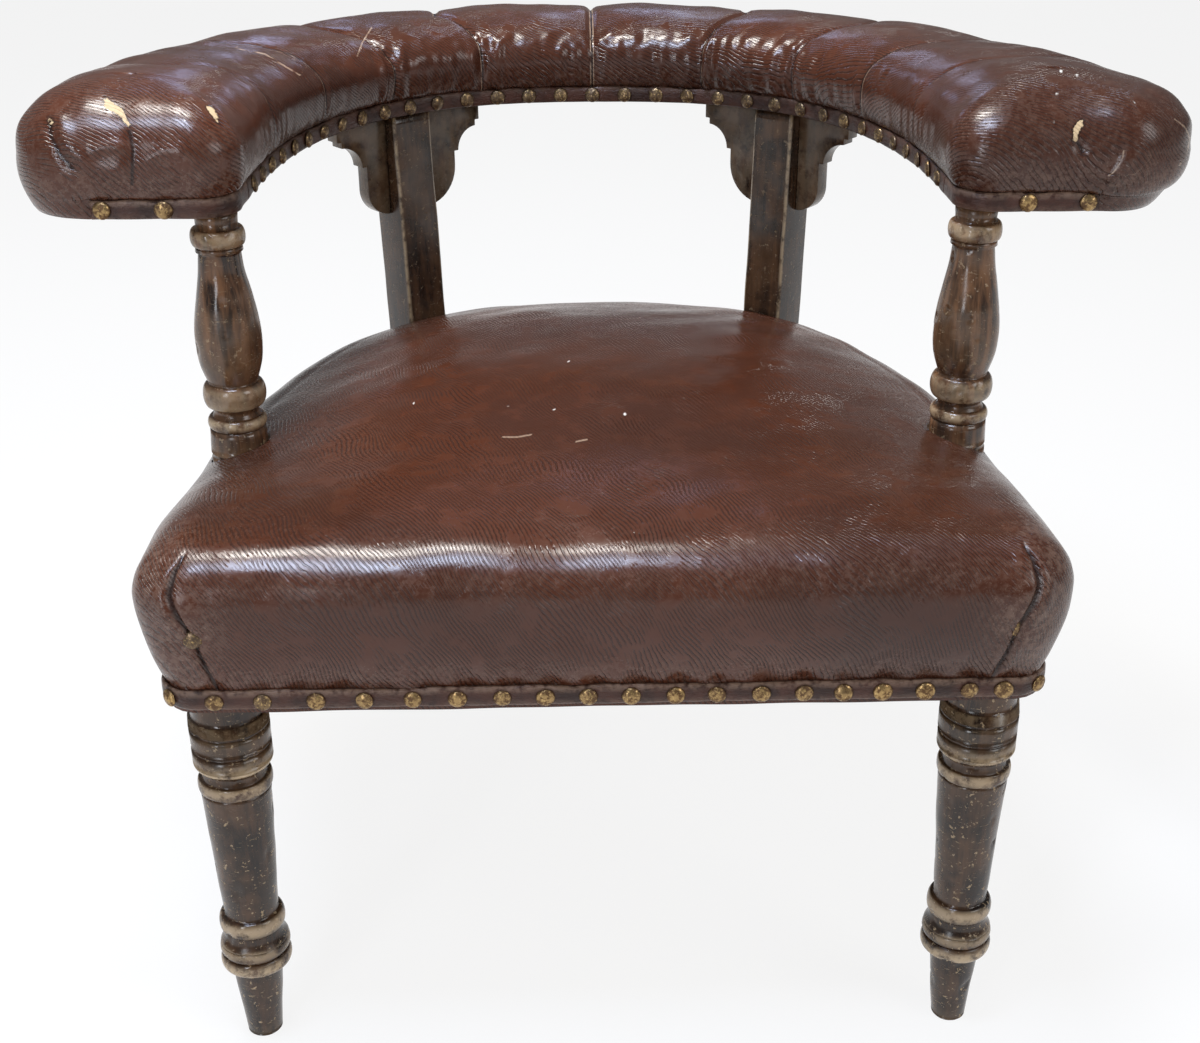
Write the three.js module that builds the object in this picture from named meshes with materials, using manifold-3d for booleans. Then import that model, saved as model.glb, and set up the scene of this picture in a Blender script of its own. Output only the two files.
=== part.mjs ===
// Club armchair with a horseshoe arm roll: turned front legs and arm spindles, square rear posts,
// a stuffed-over seat and nailed leather bands. Millimetres, +Z up, the sitter faces -Y.

import * as THREE from 'three';
import { mergeVertices } from 'three/addons/utils/BufferGeometryUtils.js';
import Module from 'manifold-3d';

const wasm = await Module();
wasm.setup();

// Fits and sheet thicknesses
const FIT_GAP = 0.3;
const LEATHER = 2;
const CANVAS = 1.5;
const WEB_THICKNESS = 2;

// Seat frame, front face at y = 0 until the whole chair is centred
const LEG_HEIGHT = 281;
const SEAT_WIDTH = 534;
const SEAT_DEPTH = 532;
const SEAT_STRAIGHT = 120;
const SEAT_CORNER = 20;
const SHARPEST_CORNER = 2;
const PLAN_POWER = 2.4;
const RAIL_HEIGHT = 50;
const RAIL_THICKNESS = 38;
const CORNER_BLOCK = 44;

// Upholstered seat edge and crown
const EDGE_HEIGHT = 85;
const EDGE_RADIUS = 25;
const EDGE_OVERHANG = 8;
const EDGE_TURN_HEIGHT = 22;
const CROWN = 34;
const PLEAT_SINK = 1.4;
const PLEAT_PUFF = 1.6;
const PLEAT_HALF = 5;
const PLEAT_TOP_INSET = 8;
const PLEAT_FOOT_INSET = 20;
const PLEAT_NAIL_HEIGHT = 44;

// Front legs
const TURNED_SIDES = 10;
const LEG_INSET_SIDE = 27.5;
const LEG_INSET_FRONT = 38;
const LEG_BARREL = 50.6;
const LEG_TENON = 20;
const LEG_TENON_LENGTH = 34;

// Arm spindles
const SPINDLE_INSET = 18;
const SPINDLE_SETBACK = 205;
const SPINDLE_BASE = 40;
const SPINDLE_BASE_TAPER = 2;
const SPINDLE_CUT_GAP = 1;
const SPINDLE_TENON = 16;
const SPINDLE_TENON_LENGTH = 26;
const SPINDLE_TOP_TENON = 14;

// Arm rail: a horseshoe, wider at the arm ends
const ARM_RISE = 204;
const ARM_RAIL_THICKNESS = 20;
const ARM_RAIL_BACK_WIDTH = 116;
const ARM_RAIL_END_WIDTH = 132;
const ARM_EDGE_TO_SPINDLE = 13;
const ARM_NOSE = 20;
const ARM_OUTER_CORNER = 42;
const ARM_INNER_CORNER = 20;
const BACK_RAIL_SETBACK = 3;
const ARM_JOINT_STATION = 300;

// Arm roll
const ROLL_BACK_HEIGHT = 66;
const ROLL_END_HEIGHT = 80;
const ROLL_WIDEST = 36;
const ROLL_OVERHANG = 10;
const ROLL_NOSE_LENGTH = 34;
const ROLL_NOSE_DROP = 0.75;
const ROLL_POWER = 0.85;
const PANEL_PITCH = 112;
const PANELS_PER_SIDE = 4;
const PANEL_PUFF = 5;
const CREASE_HALF = 8;

// Rear posts and their bracket ears
const POST = 36;
const POST_CHAMFER = 2;
const POST_STATION_INSET = 71;
const POST_LET_IN = 10;
const POST_RAKE = 42;
const POST_FOOT = 30;
const POST_TENON = 18;
const EAR_WIDTH = 44;
const EAR_HEIGHT = 70;
const EAR_THICKNESS = 14;

// Bands and nails
const BAND_HEIGHT = 16;
const BAND_THICKNESS = 2.5;
const NAIL_DIAMETER = 10.5;
const NAIL_HEIGHT = 3;
const NAIL_SINK = 1;
const FRONT_NAIL_PITCH = 25.4;
const SIDE_NAIL_PITCH = 34;
const ARM_NAIL_PITCH = 36;
const OUTER_NAIL_PITCH = 50;
const END_NAIL_OFFSET = 24;
const POST_NAIL_GAP = 32;

// Inside the seat
const WEB_WIDTH = 50;
const WEB_PITCH = 110;
const WEB_TACK_MARGIN = 12;
const SPRING_WIRE = 3.2;
const SPRING_RADIUS = 30;
const SPRING_WAIST = 21;
const SPRING_TURNS = 3;

// Levels and places that follow from the sizes above
const railTop = LEG_HEIGHT + RAIL_HEIGHT;
const canvasTop = railTop + FIT_GAP + CANVAS;
const armBottom = railTop + ARM_RISE;
const armTop = armBottom + ARM_RAIL_THICKNESS;
const frameHalf = SEAT_WIDTH / 2;
const spindleX = frameHalf - SPINDLE_INSET;
const armHalf = spindleX - ARM_EDGE_TO_SPINDLE + ARM_RAIL_END_WIDTH / 2;
const armFront = SPINDLE_SETBACK - ARM_NOSE;
const armBack = SEAT_DEPTH + BACK_RAIL_SETBACK + ARM_RAIL_BACK_WIDTH / 2;
const postStation = frameHalf - POST_STATION_INSET;

// Materials

const standard = (color, roughness, metalness = 0) =>
  new THREE.MeshStandardMaterial({ color, roughness, metalness });
const leather = standard(0x4a2019, 0.4);
const bandLeather = standard(0x5a2d20, 0.5);
const stainedWood = standard(0x2e1a10, 0.45);
const frameWood = standard(0x9a7650, 0.8);
const hair = standard(0x5b4a36, 1);
const canvas = standard(0x9c8763, 1);
const webbing = standard(0x8a6f45, 1);
const springSteel = standard(0x6d5540, 0.5, 0.9);

// Solids: closed meshes to and from the boolean library

function toSolid(geometry) {
  const bare = geometry.index ? geometry.toNonIndexed() : geometry.clone();
  bare.deleteAttribute('normal');
  bare.deleteAttribute('uv');
  const merged = mergeVertices(bare, 1e-4);
  const vertProperties = new Float32Array(merged.attributes.position.array);
  const triVerts = new Uint32Array(merged.index.array);
  return new wasm.Manifold(new wasm.Mesh({ numProp: 3, vertProperties, triVerts }));
}

function toGeometry(solid) {
  const mesh = solid.getMesh();
  const geometry = new THREE.BufferGeometry();
  geometry.setAttribute('position', new THREE.BufferAttribute(mesh.vertProperties, 3));
  geometry.setIndex(new THREE.BufferAttribute(mesh.triVerts, 1));
  geometry.computeVertexNormals();
  return geometry;
}

function boxSolid(x0, x1, y0, y1, z0, z1) {
  const box = new THREE.BoxGeometry(x1 - x0, y1 - y0, z1 - z0);
  return toSolid(box.translate((x0 + x1) / 2, (y0 + y1) / 2, (z0 + z1) / 2));
}

function rodSolid(x, y, z0, z1, diameter, sides = 10) {
  const rod = new THREE.CylinderGeometry(diameter / 2, diameter / 2, z1 - z0, sides);
  return toSolid(rod.rotateX(Math.PI / 2).translate(x, y, (z0 + z1) / 2));
}

function plateSolid(outline, z0, z1, hole) {
  const shape = new THREE.Shape(outline);
  if (hole) {
    shape.holes.push(new THREE.Path(hole));
  }
  const plate = new THREE.ExtrudeGeometry(shape, { depth: z1 - z0, bevelEnabled: false });
  return toSolid(plate.translate(0, 0, z0));
}

// Six times the volume that the triangles enclose, negative when their faces point inward.
function signedVolume(points, index) {
  let sum = 0;
  for (let i = 0; i < index.length; i += 3) {
    const [a, b, c] = index.slice(i, i + 3).map((k) => points[k]);
    sum += a.dot(b.clone().cross(c));
  }
  return sum;
}

// Skin over rings of points that run in step, closed by a fan at each end.
function loft(rings, firstTip, lastTip) {
  const size = rings[0].length;
  const centre = (ring) => ring.reduce((sum, p) => sum.add(p), new THREE.Vector3()).divideScalar(size);
  const points = rings.flat();
  const first = points.push(firstTip ?? centre(rings[0])) - 1;
  const last = points.push(lastTip ?? centre(rings[rings.length - 1])) - 1;
  const index = [];
  for (let i = 0; i < size; i++) {
    const next = (i + 1) % size;
    const end = (rings.length - 1) * size;
    index.push(first, next, i, last, end + i, end + next);
    for (let r = 0; r < rings.length - 1; r++) {
      const a = r * size;
      const b = a + size;
      index.push(a + i, a + next, b + next, a + i, b + next, b + i);
    }
  }
  const geometry = new THREE.BufferGeometry().setFromPoints(points);
  geometry.setIndex(signedVolume(points, index) < 0 ? index.reverse() : index);
  return geometry;
}

// Plan curves

const power = (value, exponent) => Math.sign(value) * Math.abs(value) ** exponent;

// Quarter of a superellipse from the side (x = halfWidth, y = bend) to the back (x = 0, y = back).
function quarterPlan(halfWidth, bend, back, steps) {
  const points = [];
  for (let i = 0; i <= steps; i++) {
    const angle = (Math.PI / 2) * (i / steps);
    const x = halfWidth * power(Math.cos(angle), 2 / PLAN_POWER);
    const y = bend + (back - bend) * power(Math.sin(angle), 2 / PLAN_POWER);
    points.push(new THREE.Vector2(i === steps ? 0 : x, y));
  }
  return points;
}

const mirrored = (points) => points.map((p) => new THREE.Vector2(-p.x, p.y)).reverse();

// Right half of the seat plan from the front centre to the back centre, grown outward by outset.
function halfSeatPlan(outset, pleatInset = PLEAT_TOP_INSET, pleatSink = 0, pleatPuff = 0) {
  const half = frameHalf + outset;
  const corner = Math.max(SEAT_CORNER + outset, SHARPEST_CORNER);
  const straight = half - corner;
  const pleat = straight - pleatInset;
  const points = [
    new THREE.Vector2(0, -outset),
    new THREE.Vector2(straight * 0.5, -outset),
    new THREE.Vector2(pleat - PLEAT_HALF, -outset - pleatPuff),
    new THREE.Vector2(pleat, -outset + pleatSink),
    new THREE.Vector2(pleat + PLEAT_HALF, -outset - pleatPuff),
  ];
  const cornerSteps = 3;
  for (let i = 0; i <= cornerSteps; i++) {
    const angle = (Math.PI / 2) * (i / cornerSteps);
    points.push(new THREE.Vector2(straight + corner * Math.sin(angle),
      -outset + corner - corner * Math.cos(angle)));
  }
  return points.concat(quarterPlan(half, SEAT_STRAIGHT, SEAT_DEPTH + outset, 8));
}

function seatPlan(...args) {
  const right = halfSeatPlan(...args);
  return right.concat(mirrored(right.slice(1, -1)));
}

// A path with outward normals that keep offset copies parallel.
function withNormals(points, closed) {
  const count = points.length;
  const side = (a, b) => new THREE.Vector2(b.y - a.y, a.x - b.x).normalize();
  return points.map((p, i) => {
    const before = closed ? points[(i + count - 1) % count] : points[Math.max(i - 1, 0)];
    const after = closed ? points[(i + 1) % count] : points[Math.min(i + 1, count - 1)];
    const sideBefore = before === p ? side(p, after) : side(before, p);
    const sideAfter = after === p ? side(before, p) : side(p, after);
    const normal = sideBefore.clone().add(sideAfter).normalize();
    return { p, n: normal.divideScalar(normal.dot(sideAfter)) };
  });
}

const offsetPoint = (station, d) => station.p.clone().addScaledVector(station.n, d);

function between(a, b, t) {
  return { p: a.p.clone().lerp(b.p, t), n: a.n.clone().lerp(b.n, t) };
}

function pathLengths(stations) {
  const lengths = [0];
  for (let i = 1; i < stations.length; i++) {
    lengths.push(lengths[i - 1] + stations[i].p.distanceTo(stations[i - 1].p));
  }
  return lengths;
}

function pointAt(stations, lengths, s) {
  let i = 1;
  while (i < stations.length - 1 && lengths[i] < s) {
    i++;
  }
  return between(stations[i - 1], stations[i], (s - lengths[i - 1]) / (lengths[i] - lengths[i - 1]));
}

// Distance along a path of its point nearest to a place.
function lengthNear(stations, lengths, place) {
  let best = { gap: Infinity, s: 0 };
  for (let i = 1; i < stations.length; i++) {
    const run = stations[i].p.clone().sub(stations[i - 1].p);
    const along = place.clone().sub(stations[i - 1].p).dot(run) / run.lengthSq();
    const t = THREE.MathUtils.clamp(along, 0, 1);
    const gap = between(stations[i - 1], stations[i], t).p.distanceTo(place);
    if (gap < best.gap) {
      best = { gap, s: THREE.MathUtils.lerp(lengths[i - 1], lengths[i], t) };
    }
  }
  return best.s;
}

function partOfPath(stations, s0, s1) {
  const lengths = pathLengths(stations);
  const inside = stations.filter((_, i) => lengths[i] > s0 + 1 && lengths[i] < s1 - 1);
  return [pointAt(stations, lengths, s0), ...inside, pointAt(stations, lengths, s1)];
}

// Horseshoe centre line, in stations from the left arm end round the back to the right arm end.
// Stations lie half a leather panel apart, so that every piece on the arm shares its facets.
function makeHorseshoe() {
  const fine = withNormals(quarterPlan(armHalf, armFront, armBack, 240).reverse(), false);
  const lengths = pathLengths(fine);
  const end = lengths[lengths.length - 1];
  const pitch = PANEL_PITCH / 2;
  const corner = end - ARM_OUTER_CORNER;
  const steps = Math.floor(corner / pitch - 0.2);
  const marks = Array.from({ length: steps + 1 }, (_, i) => i * pitch).concat(corner, end);
  const left = marks.map((s) => {
    const { p } = pointAt(fine, lengths, s);
    return { s: -s, p: new THREE.Vector2(-p.x, p.y) };
  }).reverse();
  const right = left.slice(0, -1).map(({ s, p }) => ({ s: -s, p: new THREE.Vector2(-p.x, p.y) })).reverse();
  const stations = [...left, ...right].reverse();
  const normals = withNormals(stations.map(({ p }) => p), false);
  return stations.map(({ s }, i) => ({ ...normals[i], s: s === 0 ? 0 : s })).reverse();
}

const horseshoe = makeHorseshoe();
const armEnd = horseshoe[horseshoe.length - 1].s;

// Place on the horseshoe at distance s from the back centre; past the ends it runs straight on.
function armAt(s) {
  let i = 1;
  while (i < horseshoe.length - 1 && horseshoe[i].s < s) {
    i++;
  }
  const a = horseshoe[i - 1];
  const b = horseshoe[i];
  return { ...between(a, b, (s - a.s) / (b.s - a.s)), s };
}

function armStations(s0, s1) {
  return [armAt(s0), ...horseshoe.filter(({ s }) => s > s0 + 1 && s < s1 - 1), armAt(s1)];
}

function armRailHalf(s) {
  const grow = THREE.MathUtils.smoothstep(Math.abs(s), postStation, armEnd);
  return THREE.MathUtils.lerp(ARM_RAIL_BACK_WIDTH, ARM_RAIL_END_WIDTH, grow) / 2;
}

// Half width at s, taken between stations in a straight line as the centre line is.
function armHalfWidth(s) {
  const capped = THREE.MathUtils.clamp(s, -armEnd, armEnd);
  const i = Math.max(1, horseshoe.findIndex((station) => station.s >= capped));
  const a = horseshoe[i - 1].s;
  const b = horseshoe[i].s;
  return THREE.MathUtils.lerp(armRailHalf(a), armRailHalf(b), (capped - a) / (b - a));
}

// Width that a round corner takes off an edge, at a distance before the end.
function cornerCut(radius, beforeEnd) {
  const reach = THREE.MathUtils.clamp(1 - beforeEnd / radius, 0, 1);
  return radius * (1 - Math.sqrt(1 - reach ** 2));
}

// Distance of the arm's inner or outer edge from the centre line, grown outward by outset.
function armEdge(s, outset, corner) {
  const beforeEnd = armEnd + outset - Math.abs(s);
  return armHalfWidth(s) + outset - cornerCut(corner + outset, beforeEnd);
}

const armInner = (s, outset = 0) => -armEdge(s, outset, ARM_INNER_CORNER);
const armOuter = (s, outset = 0) => armEdge(s, outset, ARM_OUTER_CORNER);

// Places along an arm end, from where its outer corner starts to the end itself.
function cornerMarks(outset) {
  return [0, 30, 60, 90].map((degrees) => {
    const left = 1 - Math.sin(THREE.MathUtils.degToRad(degrees));
    return armEnd + outset - (ARM_OUTER_CORNER + outset) * left;
  });
}

// Turned work: a profile drawn from the bottom up

class Turning {
  constructor(start) {
    this.z = start;
    this.points = [new THREE.Vector2(0, start)];
  }

  mark(diameter) {
    const point = new THREE.Vector2(diameter / 2, this.z);
    if (point.distanceTo(this.points[this.points.length - 1]) > 1e-3) {
      this.points.push(point);
    }
    return this;
  }

  taper(from, to, length) {
    this.mark(from);
    this.z += length;
    return this.mark(to);
  }

  bead(root, crown, length) {
    const start = this.z;
    this.mark(root);
    this.z = start + length * 0.25;
    this.mark(crown);
    this.z = start + length * 0.75;
    this.mark(crown);
    this.z = start + length;
    return this.mark(root);
  }

  ridge(root, crown, length) {
    return this.taper(root, crown, length / 2).taper(crown, root, length / 2);
  }

  cut(diameter, depth, width) {
    this.taper(diameter, diameter - 2 * depth, width / 2);
    return this.taper(diameter - 2 * depth, diameter, width / 2);
  }

  swell(diameters, length) {
    const start = this.z;
    diameters.forEach((diameter, i) => {
      this.z = start + (length * i) / (diameters.length - 1);
      this.mark(diameter);
    });
    return this;
  }

  lathe(segments) {
    const profile = [...this.points, new THREE.Vector2(0, this.z)];
    return new THREE.LatheGeometry(profile, segments).rotateX(Math.PI / 2);
  }
}

// Front leg with its stub foot bare: the castor is gone.
function frontLeg() {
  const foot = 49;
  const doubleRing = 26;
  const bell = 14;
  const ring = 18;
  const shoulder = 10;
  const neck = 12;
  const barrel = 44;
  const collar = 26;
  const shaft = LEG_HEIGHT - FIT_GAP - foot - doubleRing - bell - ring - shoulder - neck - barrel - collar;
  return new Turning(0)
    .taper(22, 32, foot)
    .bead(42, 47.5, doubleRing / 2).bead(42, 47.5, doubleRing / 2)
    .swell([46.5, 41, 39], bell)
    .bead(37, 43.5, ring)
    .taper(36, 44, shaft)
    .ridge(44, 47.5, shoulder)
    .swell([42, 40, 43], neck)
    .taper(48, LEG_BARREL, 3).taper(LEG_BARREL, LEG_BARREL, barrel - 15)
    .cut(LEG_BARREL, 1, 3).taper(LEG_BARREL, LEG_BARREL - 1, 9)
    .taper(46, 46, collar)
    .taper(LEG_TENON, LEG_TENON, LEG_TENON_LENGTH)
    .lathe(TURNED_SIDES);
}

// Arm spindle: a vase between rings, tenoned into the seat rail and the arm rail.
function spindle() {
  const base = 29;
  const lowRing = 8;
  const cove = 9;
  const bead = 17;
  const fillet = 4;
  const torus = 12;
  const collar = 31;
  const vase = ARM_RISE - 2 * FIT_GAP - base - lowRing - cove - bead - fillet - torus - collar;
  return new Turning(railTop + FIT_GAP - SPINDLE_TENON_LENGTH)
    .taper(SPINDLE_TENON, SPINDLE_TENON, SPINDLE_TENON_LENGTH)
    .taper(SPINDLE_BASE, SPINDLE_BASE - SPINDLE_BASE_TAPER, base)
    .ridge(33, 41, lowRing)
    .swell([33, 29, 33], cove)
    .bead(34, 42.5, bead)
    .swell([31, 42, 44.5, 41, 35, 29.5, 25.7], vase)
    .taper(30, 29, fillet)
    .bead(29, 35, torus)
    .taper(26.5, 28, collar)
    .taper(SPINDLE_TENON, SPINDLE_TENON, SPINDLE_TOP_TENON)
    .lathe(TURNED_SIDES);
}

// Rear posts: leg and upright in one piece, leaning back above the seat and raked back below it

const postTop = armAt(postStation);
const postNormal = postTop.n.clone().normalize();
const postHead = offsetPoint(postTop, POST / 2 - armHalfWidth(postStation));

// Where the line inward from the post's head meets the frame's outline.
function frameEdgeInward(head, normal) {
  const beyond = (p) => (Math.abs(p.x) / frameHalf) ** PLAN_POWER
    + (Math.max(p.y - SEAT_STRAIGHT, 0) / (SEAT_DEPTH - SEAT_STRAIGHT)) ** PLAN_POWER > 1;
  let outside = head.clone().addScaledVector(normal, POST);
  let inside = head.clone().addScaledVector(normal, -SEAT_DEPTH / 4);
  for (let i = 0; i < 40; i++) {
    const middle = outside.clone().add(inside).multiplyScalar(0.5);
    if (beyond(middle)) {
      outside = middle;
    } else {
      inside = middle;
    }
  }
  return inside;
}

const postSeat = frameEdgeInward(postHead, postNormal).addScaledVector(postNormal, POST / 2 - POST_LET_IN);
const postFoot = postSeat.clone().addScaledVector(postNormal, POST_RAKE);
const postTurn = Math.atan2(postNormal.y, postNormal.x);

function postRing(centre, size, z) {
  const half = size / 2;
  const cut = half - POST_CHAMFER;
  const corners = [[half, -cut], [half, cut], [cut, half], [-cut, half],
    [-half, cut], [-half, -cut], [-cut, -half], [cut, -half]];
  return corners.map(([u, v]) => {
    const p = new THREE.Vector2(u, v).rotateAround(new THREE.Vector2(), postTurn).add(centre);
    return new THREE.Vector3(p.x, p.y, z);
  });
}

// Right-hand post; grow makes the cutter that clears it.
function postSolid(grow = 0) {
  const size = POST + 2 * grow;
  const stock = loft([
    postRing(postFoot, POST_FOOT + 2 * grow, 0),
    postRing(postSeat, size, LEG_HEIGHT),
    postRing(postSeat, size, railTop),
    postRing(postHead, size, armBottom - FIT_GAP),
  ]);
  const tenonTop = armBottom + ARM_RAIL_THICKNESS * 0.7 - FIT_GAP;
  const tenon = rodSolid(postHead.x, postHead.y, armBottom - POST, tenonTop, POST_TENON + 2 * grow);
  return toSolid(stock).add(tenon);
}

const flip = (solid) => solid.mirror([1, 0, 0]);
const postCut = postSolid(FIT_GAP);
const postCuts = postCut.add(flip(postCut));

// Fret-cut bracket: square tip, cove, step and quarter round down to the post.
function earOutline() {
  const tip = EAR_HEIGHT * 0.2;
  const notch = EAR_WIDTH * 0.09;
  const cove = EAR_WIDTH * 0.36;
  const step = EAR_HEIGHT * 0.06;
  const round = EAR_WIDTH - 2 * notch - cove;
  const shape = new THREE.Shape();
  shape.moveTo(0, 0);
  shape.lineTo(0, -EAR_HEIGHT);
  shape.absellipse(0, -EAR_HEIGHT + round, round, round, -Math.PI / 2, 0);
  shape.lineTo(round, -tip - step - cove);
  shape.lineTo(round + notch, -tip - step - cove);
  shape.absellipse(round + notch + cove, -tip - step - cove, cove, cove, Math.PI, Math.PI / 2, true);
  shape.lineTo(EAR_WIDTH - notch, -tip);
  shape.lineTo(EAR_WIDTH, -tip);
  shape.lineTo(EAR_WIDTH, 0);
  return shape;
}

// Ear on one side of the right-hand post: hand +1 points back along the rail, -1 forward.
function earGeometry(hand) {
  const settings = { depth: EAR_THICKNESS, bevelEnabled: false, curveSegments: 3 };
  const ear = new THREE.ExtrudeGeometry(earOutline(), settings);
  ear.translate(POST / 2 + FIT_GAP, 0, -EAR_THICKNESS / 2).rotateX(Math.PI / 2);
  const along = postTurn + hand * (Math.PI / 2);
  return ear.rotateZ(along).translate(postHead.x, postHead.y, armBottom - FIT_GAP);
}

// Seat frame

const leftAndRight = (make) => [make(1), make(-1)];
const legX = frameHalf - LEG_INSET_SIDE;

function seatFrame() {
  const ring = plateSolid(seatPlan(0), LEG_HEIGHT, railTop, seatPlan(-RAIL_THICKNESS)).subtract(postCuts);
  const inner = frameHalf - RAIL_THICKNESS;
  const split = FIT_GAP / 2;
  const far = SEAT_WIDTH + SEAT_DEPTH;
  const slab = (x0, x1, y0, y1) => boxSolid(x0, x1, y0, y1, 0, far);
  const backFrom = postSeat.y - POST / 2;
  const sideEdge = postSeat.x;
  const front = ring.intersect(slab(-inner + split, inner - split, -far, RAIL_THICKNESS));
  const back = ring.intersect(slab(-sideEdge + split, sideEdge - split, backFrom - POST, far));
  const side = (hand) => {
    const legBore = rodSolid(hand * legX, LEG_INSET_FRONT, 0, LEG_HEIGHT + LEG_TENON_LENGTH + FIT_GAP,
      LEG_TENON + 2 * FIT_GAP);
    const boreFoot = railTop - SPINDLE_TENON_LENGTH - FIT_GAP;
    const spindleBore = rodSolid(hand * spindleX, SPINDLE_SETBACK, boreFoot, far,
      SPINDLE_TENON + 2 * FIT_GAP);
    const front = hand > 0 ? slab(inner + split, far, -far, far) : slab(-far, -inner - split, -far, far);
    const rear = hand > 0 ? slab(sideEdge + split, far, RAIL_THICKNESS + split, far)
      : slab(-far, -sideEdge - split, RAIL_THICKNESS + split, far);
    return ring.intersect(front.add(rear)).subtract(legBore).subtract(spindleBore);
  };
  return { front, back, right: side(1), left: side(-1) };
}

// Triangular block glued in a front corner of the frame.
function cornerBlock(hand) {
  const x = frameHalf - RAIL_THICKNESS - FIT_GAP;
  const y = RAIL_THICKNESS + FIT_GAP;
  const clear = SHARPEST_CORNER;
  const outline = [[x - clear, y], [x, y + clear], [x, y + CORNER_BLOCK], [x - CORNER_BLOCK, y]]
    .map(([px, py]) => new THREE.Vector2(hand * px, py));
  const turned = hand > 0 ? outline : outline.reverse();
  return toGeometry(plateSolid(turned, LEG_HEIGHT + FIT_GAP, railTop - FIT_GAP));
}

// Seat inside: webbing, springs and canvas

function webbingLattice() {
  const top = LEG_HEIGHT - FIT_GAP;
  const far = SEAT_WIDTH + SEAT_DEPTH;
  const tacked = plateSolid(seatPlan(-WEB_TACK_MARGIN), top - WEB_THICKNESS, top);
  const half = WEB_WIDTH / 2;
  const strips = [-WEB_PITCH, 0, WEB_PITCH].flatMap((x) => {
    const y = SEAT_DEPTH / 2 + x;
    return [
      boxSolid(x - half, x + half, -far, far, top - far, top + far),
      boxSolid(-far, far, y - half, y + half, top - far, top + far),
    ];
  });
  const lattice = strips.reduce((all, strip) => all.add(strip));
  const legs = leftAndRight((hand) =>
    rodSolid(hand * legX, LEG_INSET_FRONT, 0, LEG_HEIGHT, LEG_BARREL + WEB_TACK_MARGIN));
  return tacked.intersect(lattice).subtract(legs[0]).subtract(legs[1]).subtract(postCuts);
}

function ngon(radius, sides) {
  const turn = (2 * Math.PI) / sides;
  return Array.from({ length: sides }, (_, i) =>
    new THREE.Vector2(radius * Math.cos(i * turn), radius * Math.sin(i * turn)));
}

// Waisted coil spring standing on the webbing and carrying the canvas.
class CoilCurve extends THREE.Curve {
  getPoint(t, target = new THREE.Vector3()) {
    const bottom = LEG_HEIGHT + SPRING_WIRE / 2;
    const top = railTop - SPRING_WIRE / 2;
    const radius = THREE.MathUtils.lerp(SPRING_WAIST, SPRING_RADIUS, Math.abs(2 * t - 1));
    const angle = 2 * Math.PI * SPRING_TURNS * t;
    const height = THREE.MathUtils.lerp(bottom, top, t);
    return target.set(radius * Math.cos(angle), radius * Math.sin(angle), height);
  }
}

function springGeometry() {
  const wire = new THREE.Shape(ngon(SPRING_WIRE / 2, 3));
  return new THREE.ExtrudeGeometry(wire, { steps: 4 * SPRING_TURNS, extrudePath: new CoilCurve() });
}

function springPlaces() {
  const middle = SEAT_DEPTH / 2;
  return {
    centre: [0, middle],
    front_left: [-WEB_PITCH, middle - WEB_PITCH],
    front_right: [WEB_PITCH, middle - WEB_PITCH],
    back_left: [-WEB_PITCH, middle + WEB_PITCH],
    back_right: [WEB_PITCH, middle + WEB_PITCH],
  };
}

// Seat upholstery: one dome outline, used for the leather, its inside and the stuffing

const spindleCuts = leftAndRight((hand) =>
  rodSolid(hand * spindleX, SPINDLE_SETBACK, railTop, armBottom, SPINDLE_BASE + 2 * SPINDLE_CUT_GAP));

function cutRoundSupports(solid) {
  return solid.subtract(spindleCuts[0]).subtract(spindleCuts[1]).subtract(postCuts);
}

function seatDome(skin, bottom) {
  const wall = FIT_GAP + LEATHER - skin;
  const edgeTop = LEG_HEIGHT + EDGE_HEIGHT;
  const edgeMiddle = edgeTop - EDGE_RADIUS;
  const bandTop = LEG_HEIGHT + BAND_HEIGHT;
  const edgeInset = wall + EDGE_OVERHANG + skin - EDGE_RADIUS;
  const pleated = skin === 0;
  const ring = (outset, z, scale = 1) => {
    const rise = THREE.MathUtils.clamp((z - bandTop) / (edgeMiddle - bandTop), 0, 1);
    const fade = z < edgeTop - 1 && z > bandTop + 1 && pleated ? 1 : 0;
    const inset = THREE.MathUtils.lerp(PLEAT_FOOT_INSET, PLEAT_TOP_INSET, rise);
    return seatPlan(outset, inset, fade * PLEAT_SINK, fade * PLEAT_PUFF)
      .map((p) => new THREE.Vector3(p.x * scale, (p.y - SEAT_DEPTH / 2) * scale + SEAT_DEPTH / 2, z));
  };
  const rings = [
    ring(wall, bottom),
    ring(wall, bandTop + 1),
    ring(wall + EDGE_OVERHANG * 0.6, bandTop + EDGE_TURN_HEIGHT),
  ];
  for (const degrees of pleated ? [0, 30, 60, 90] : [0, 45, 90]) {
    const angle = THREE.MathUtils.degToRad(degrees);
    const radius = EDGE_RADIUS - skin;
    rings.push(ring(edgeInset + radius * Math.cos(angle), edgeMiddle + radius * Math.sin(angle)));
  }
  for (const scale of pleated ? [0.8, 0.55, 0.28] : [0.5]) {
    rings.push(ring(edgeInset, edgeTop - skin + CROWN * (1 - scale ** 2), scale));
  }
  return toSolid(loft(rings, undefined, new THREE.Vector3(0, SEAT_DEPTH / 2, edgeTop + CROWN - skin)));
}

// Nails

function nailSolid(station, outset, z) {
  const root = (NAIL_DIAMETER / 2) * (1 + NAIL_SINK / NAIL_HEIGHT);
  const profile = [[0, -NAIL_SINK], [root, -NAIL_SINK], [0, NAIL_HEIGHT]]
    .map(([x, y]) => new THREE.Vector2(x, y));
  const nail = new THREE.LatheGeometry(profile, 5).rotateX(Math.PI / 2).rotateY(Math.PI / 2);
  const place = offsetPoint(station, outset);
  return toSolid(nail.rotateZ(Math.atan2(station.n.y, station.n.x)).translate(place.x, place.y, z));
}

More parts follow.
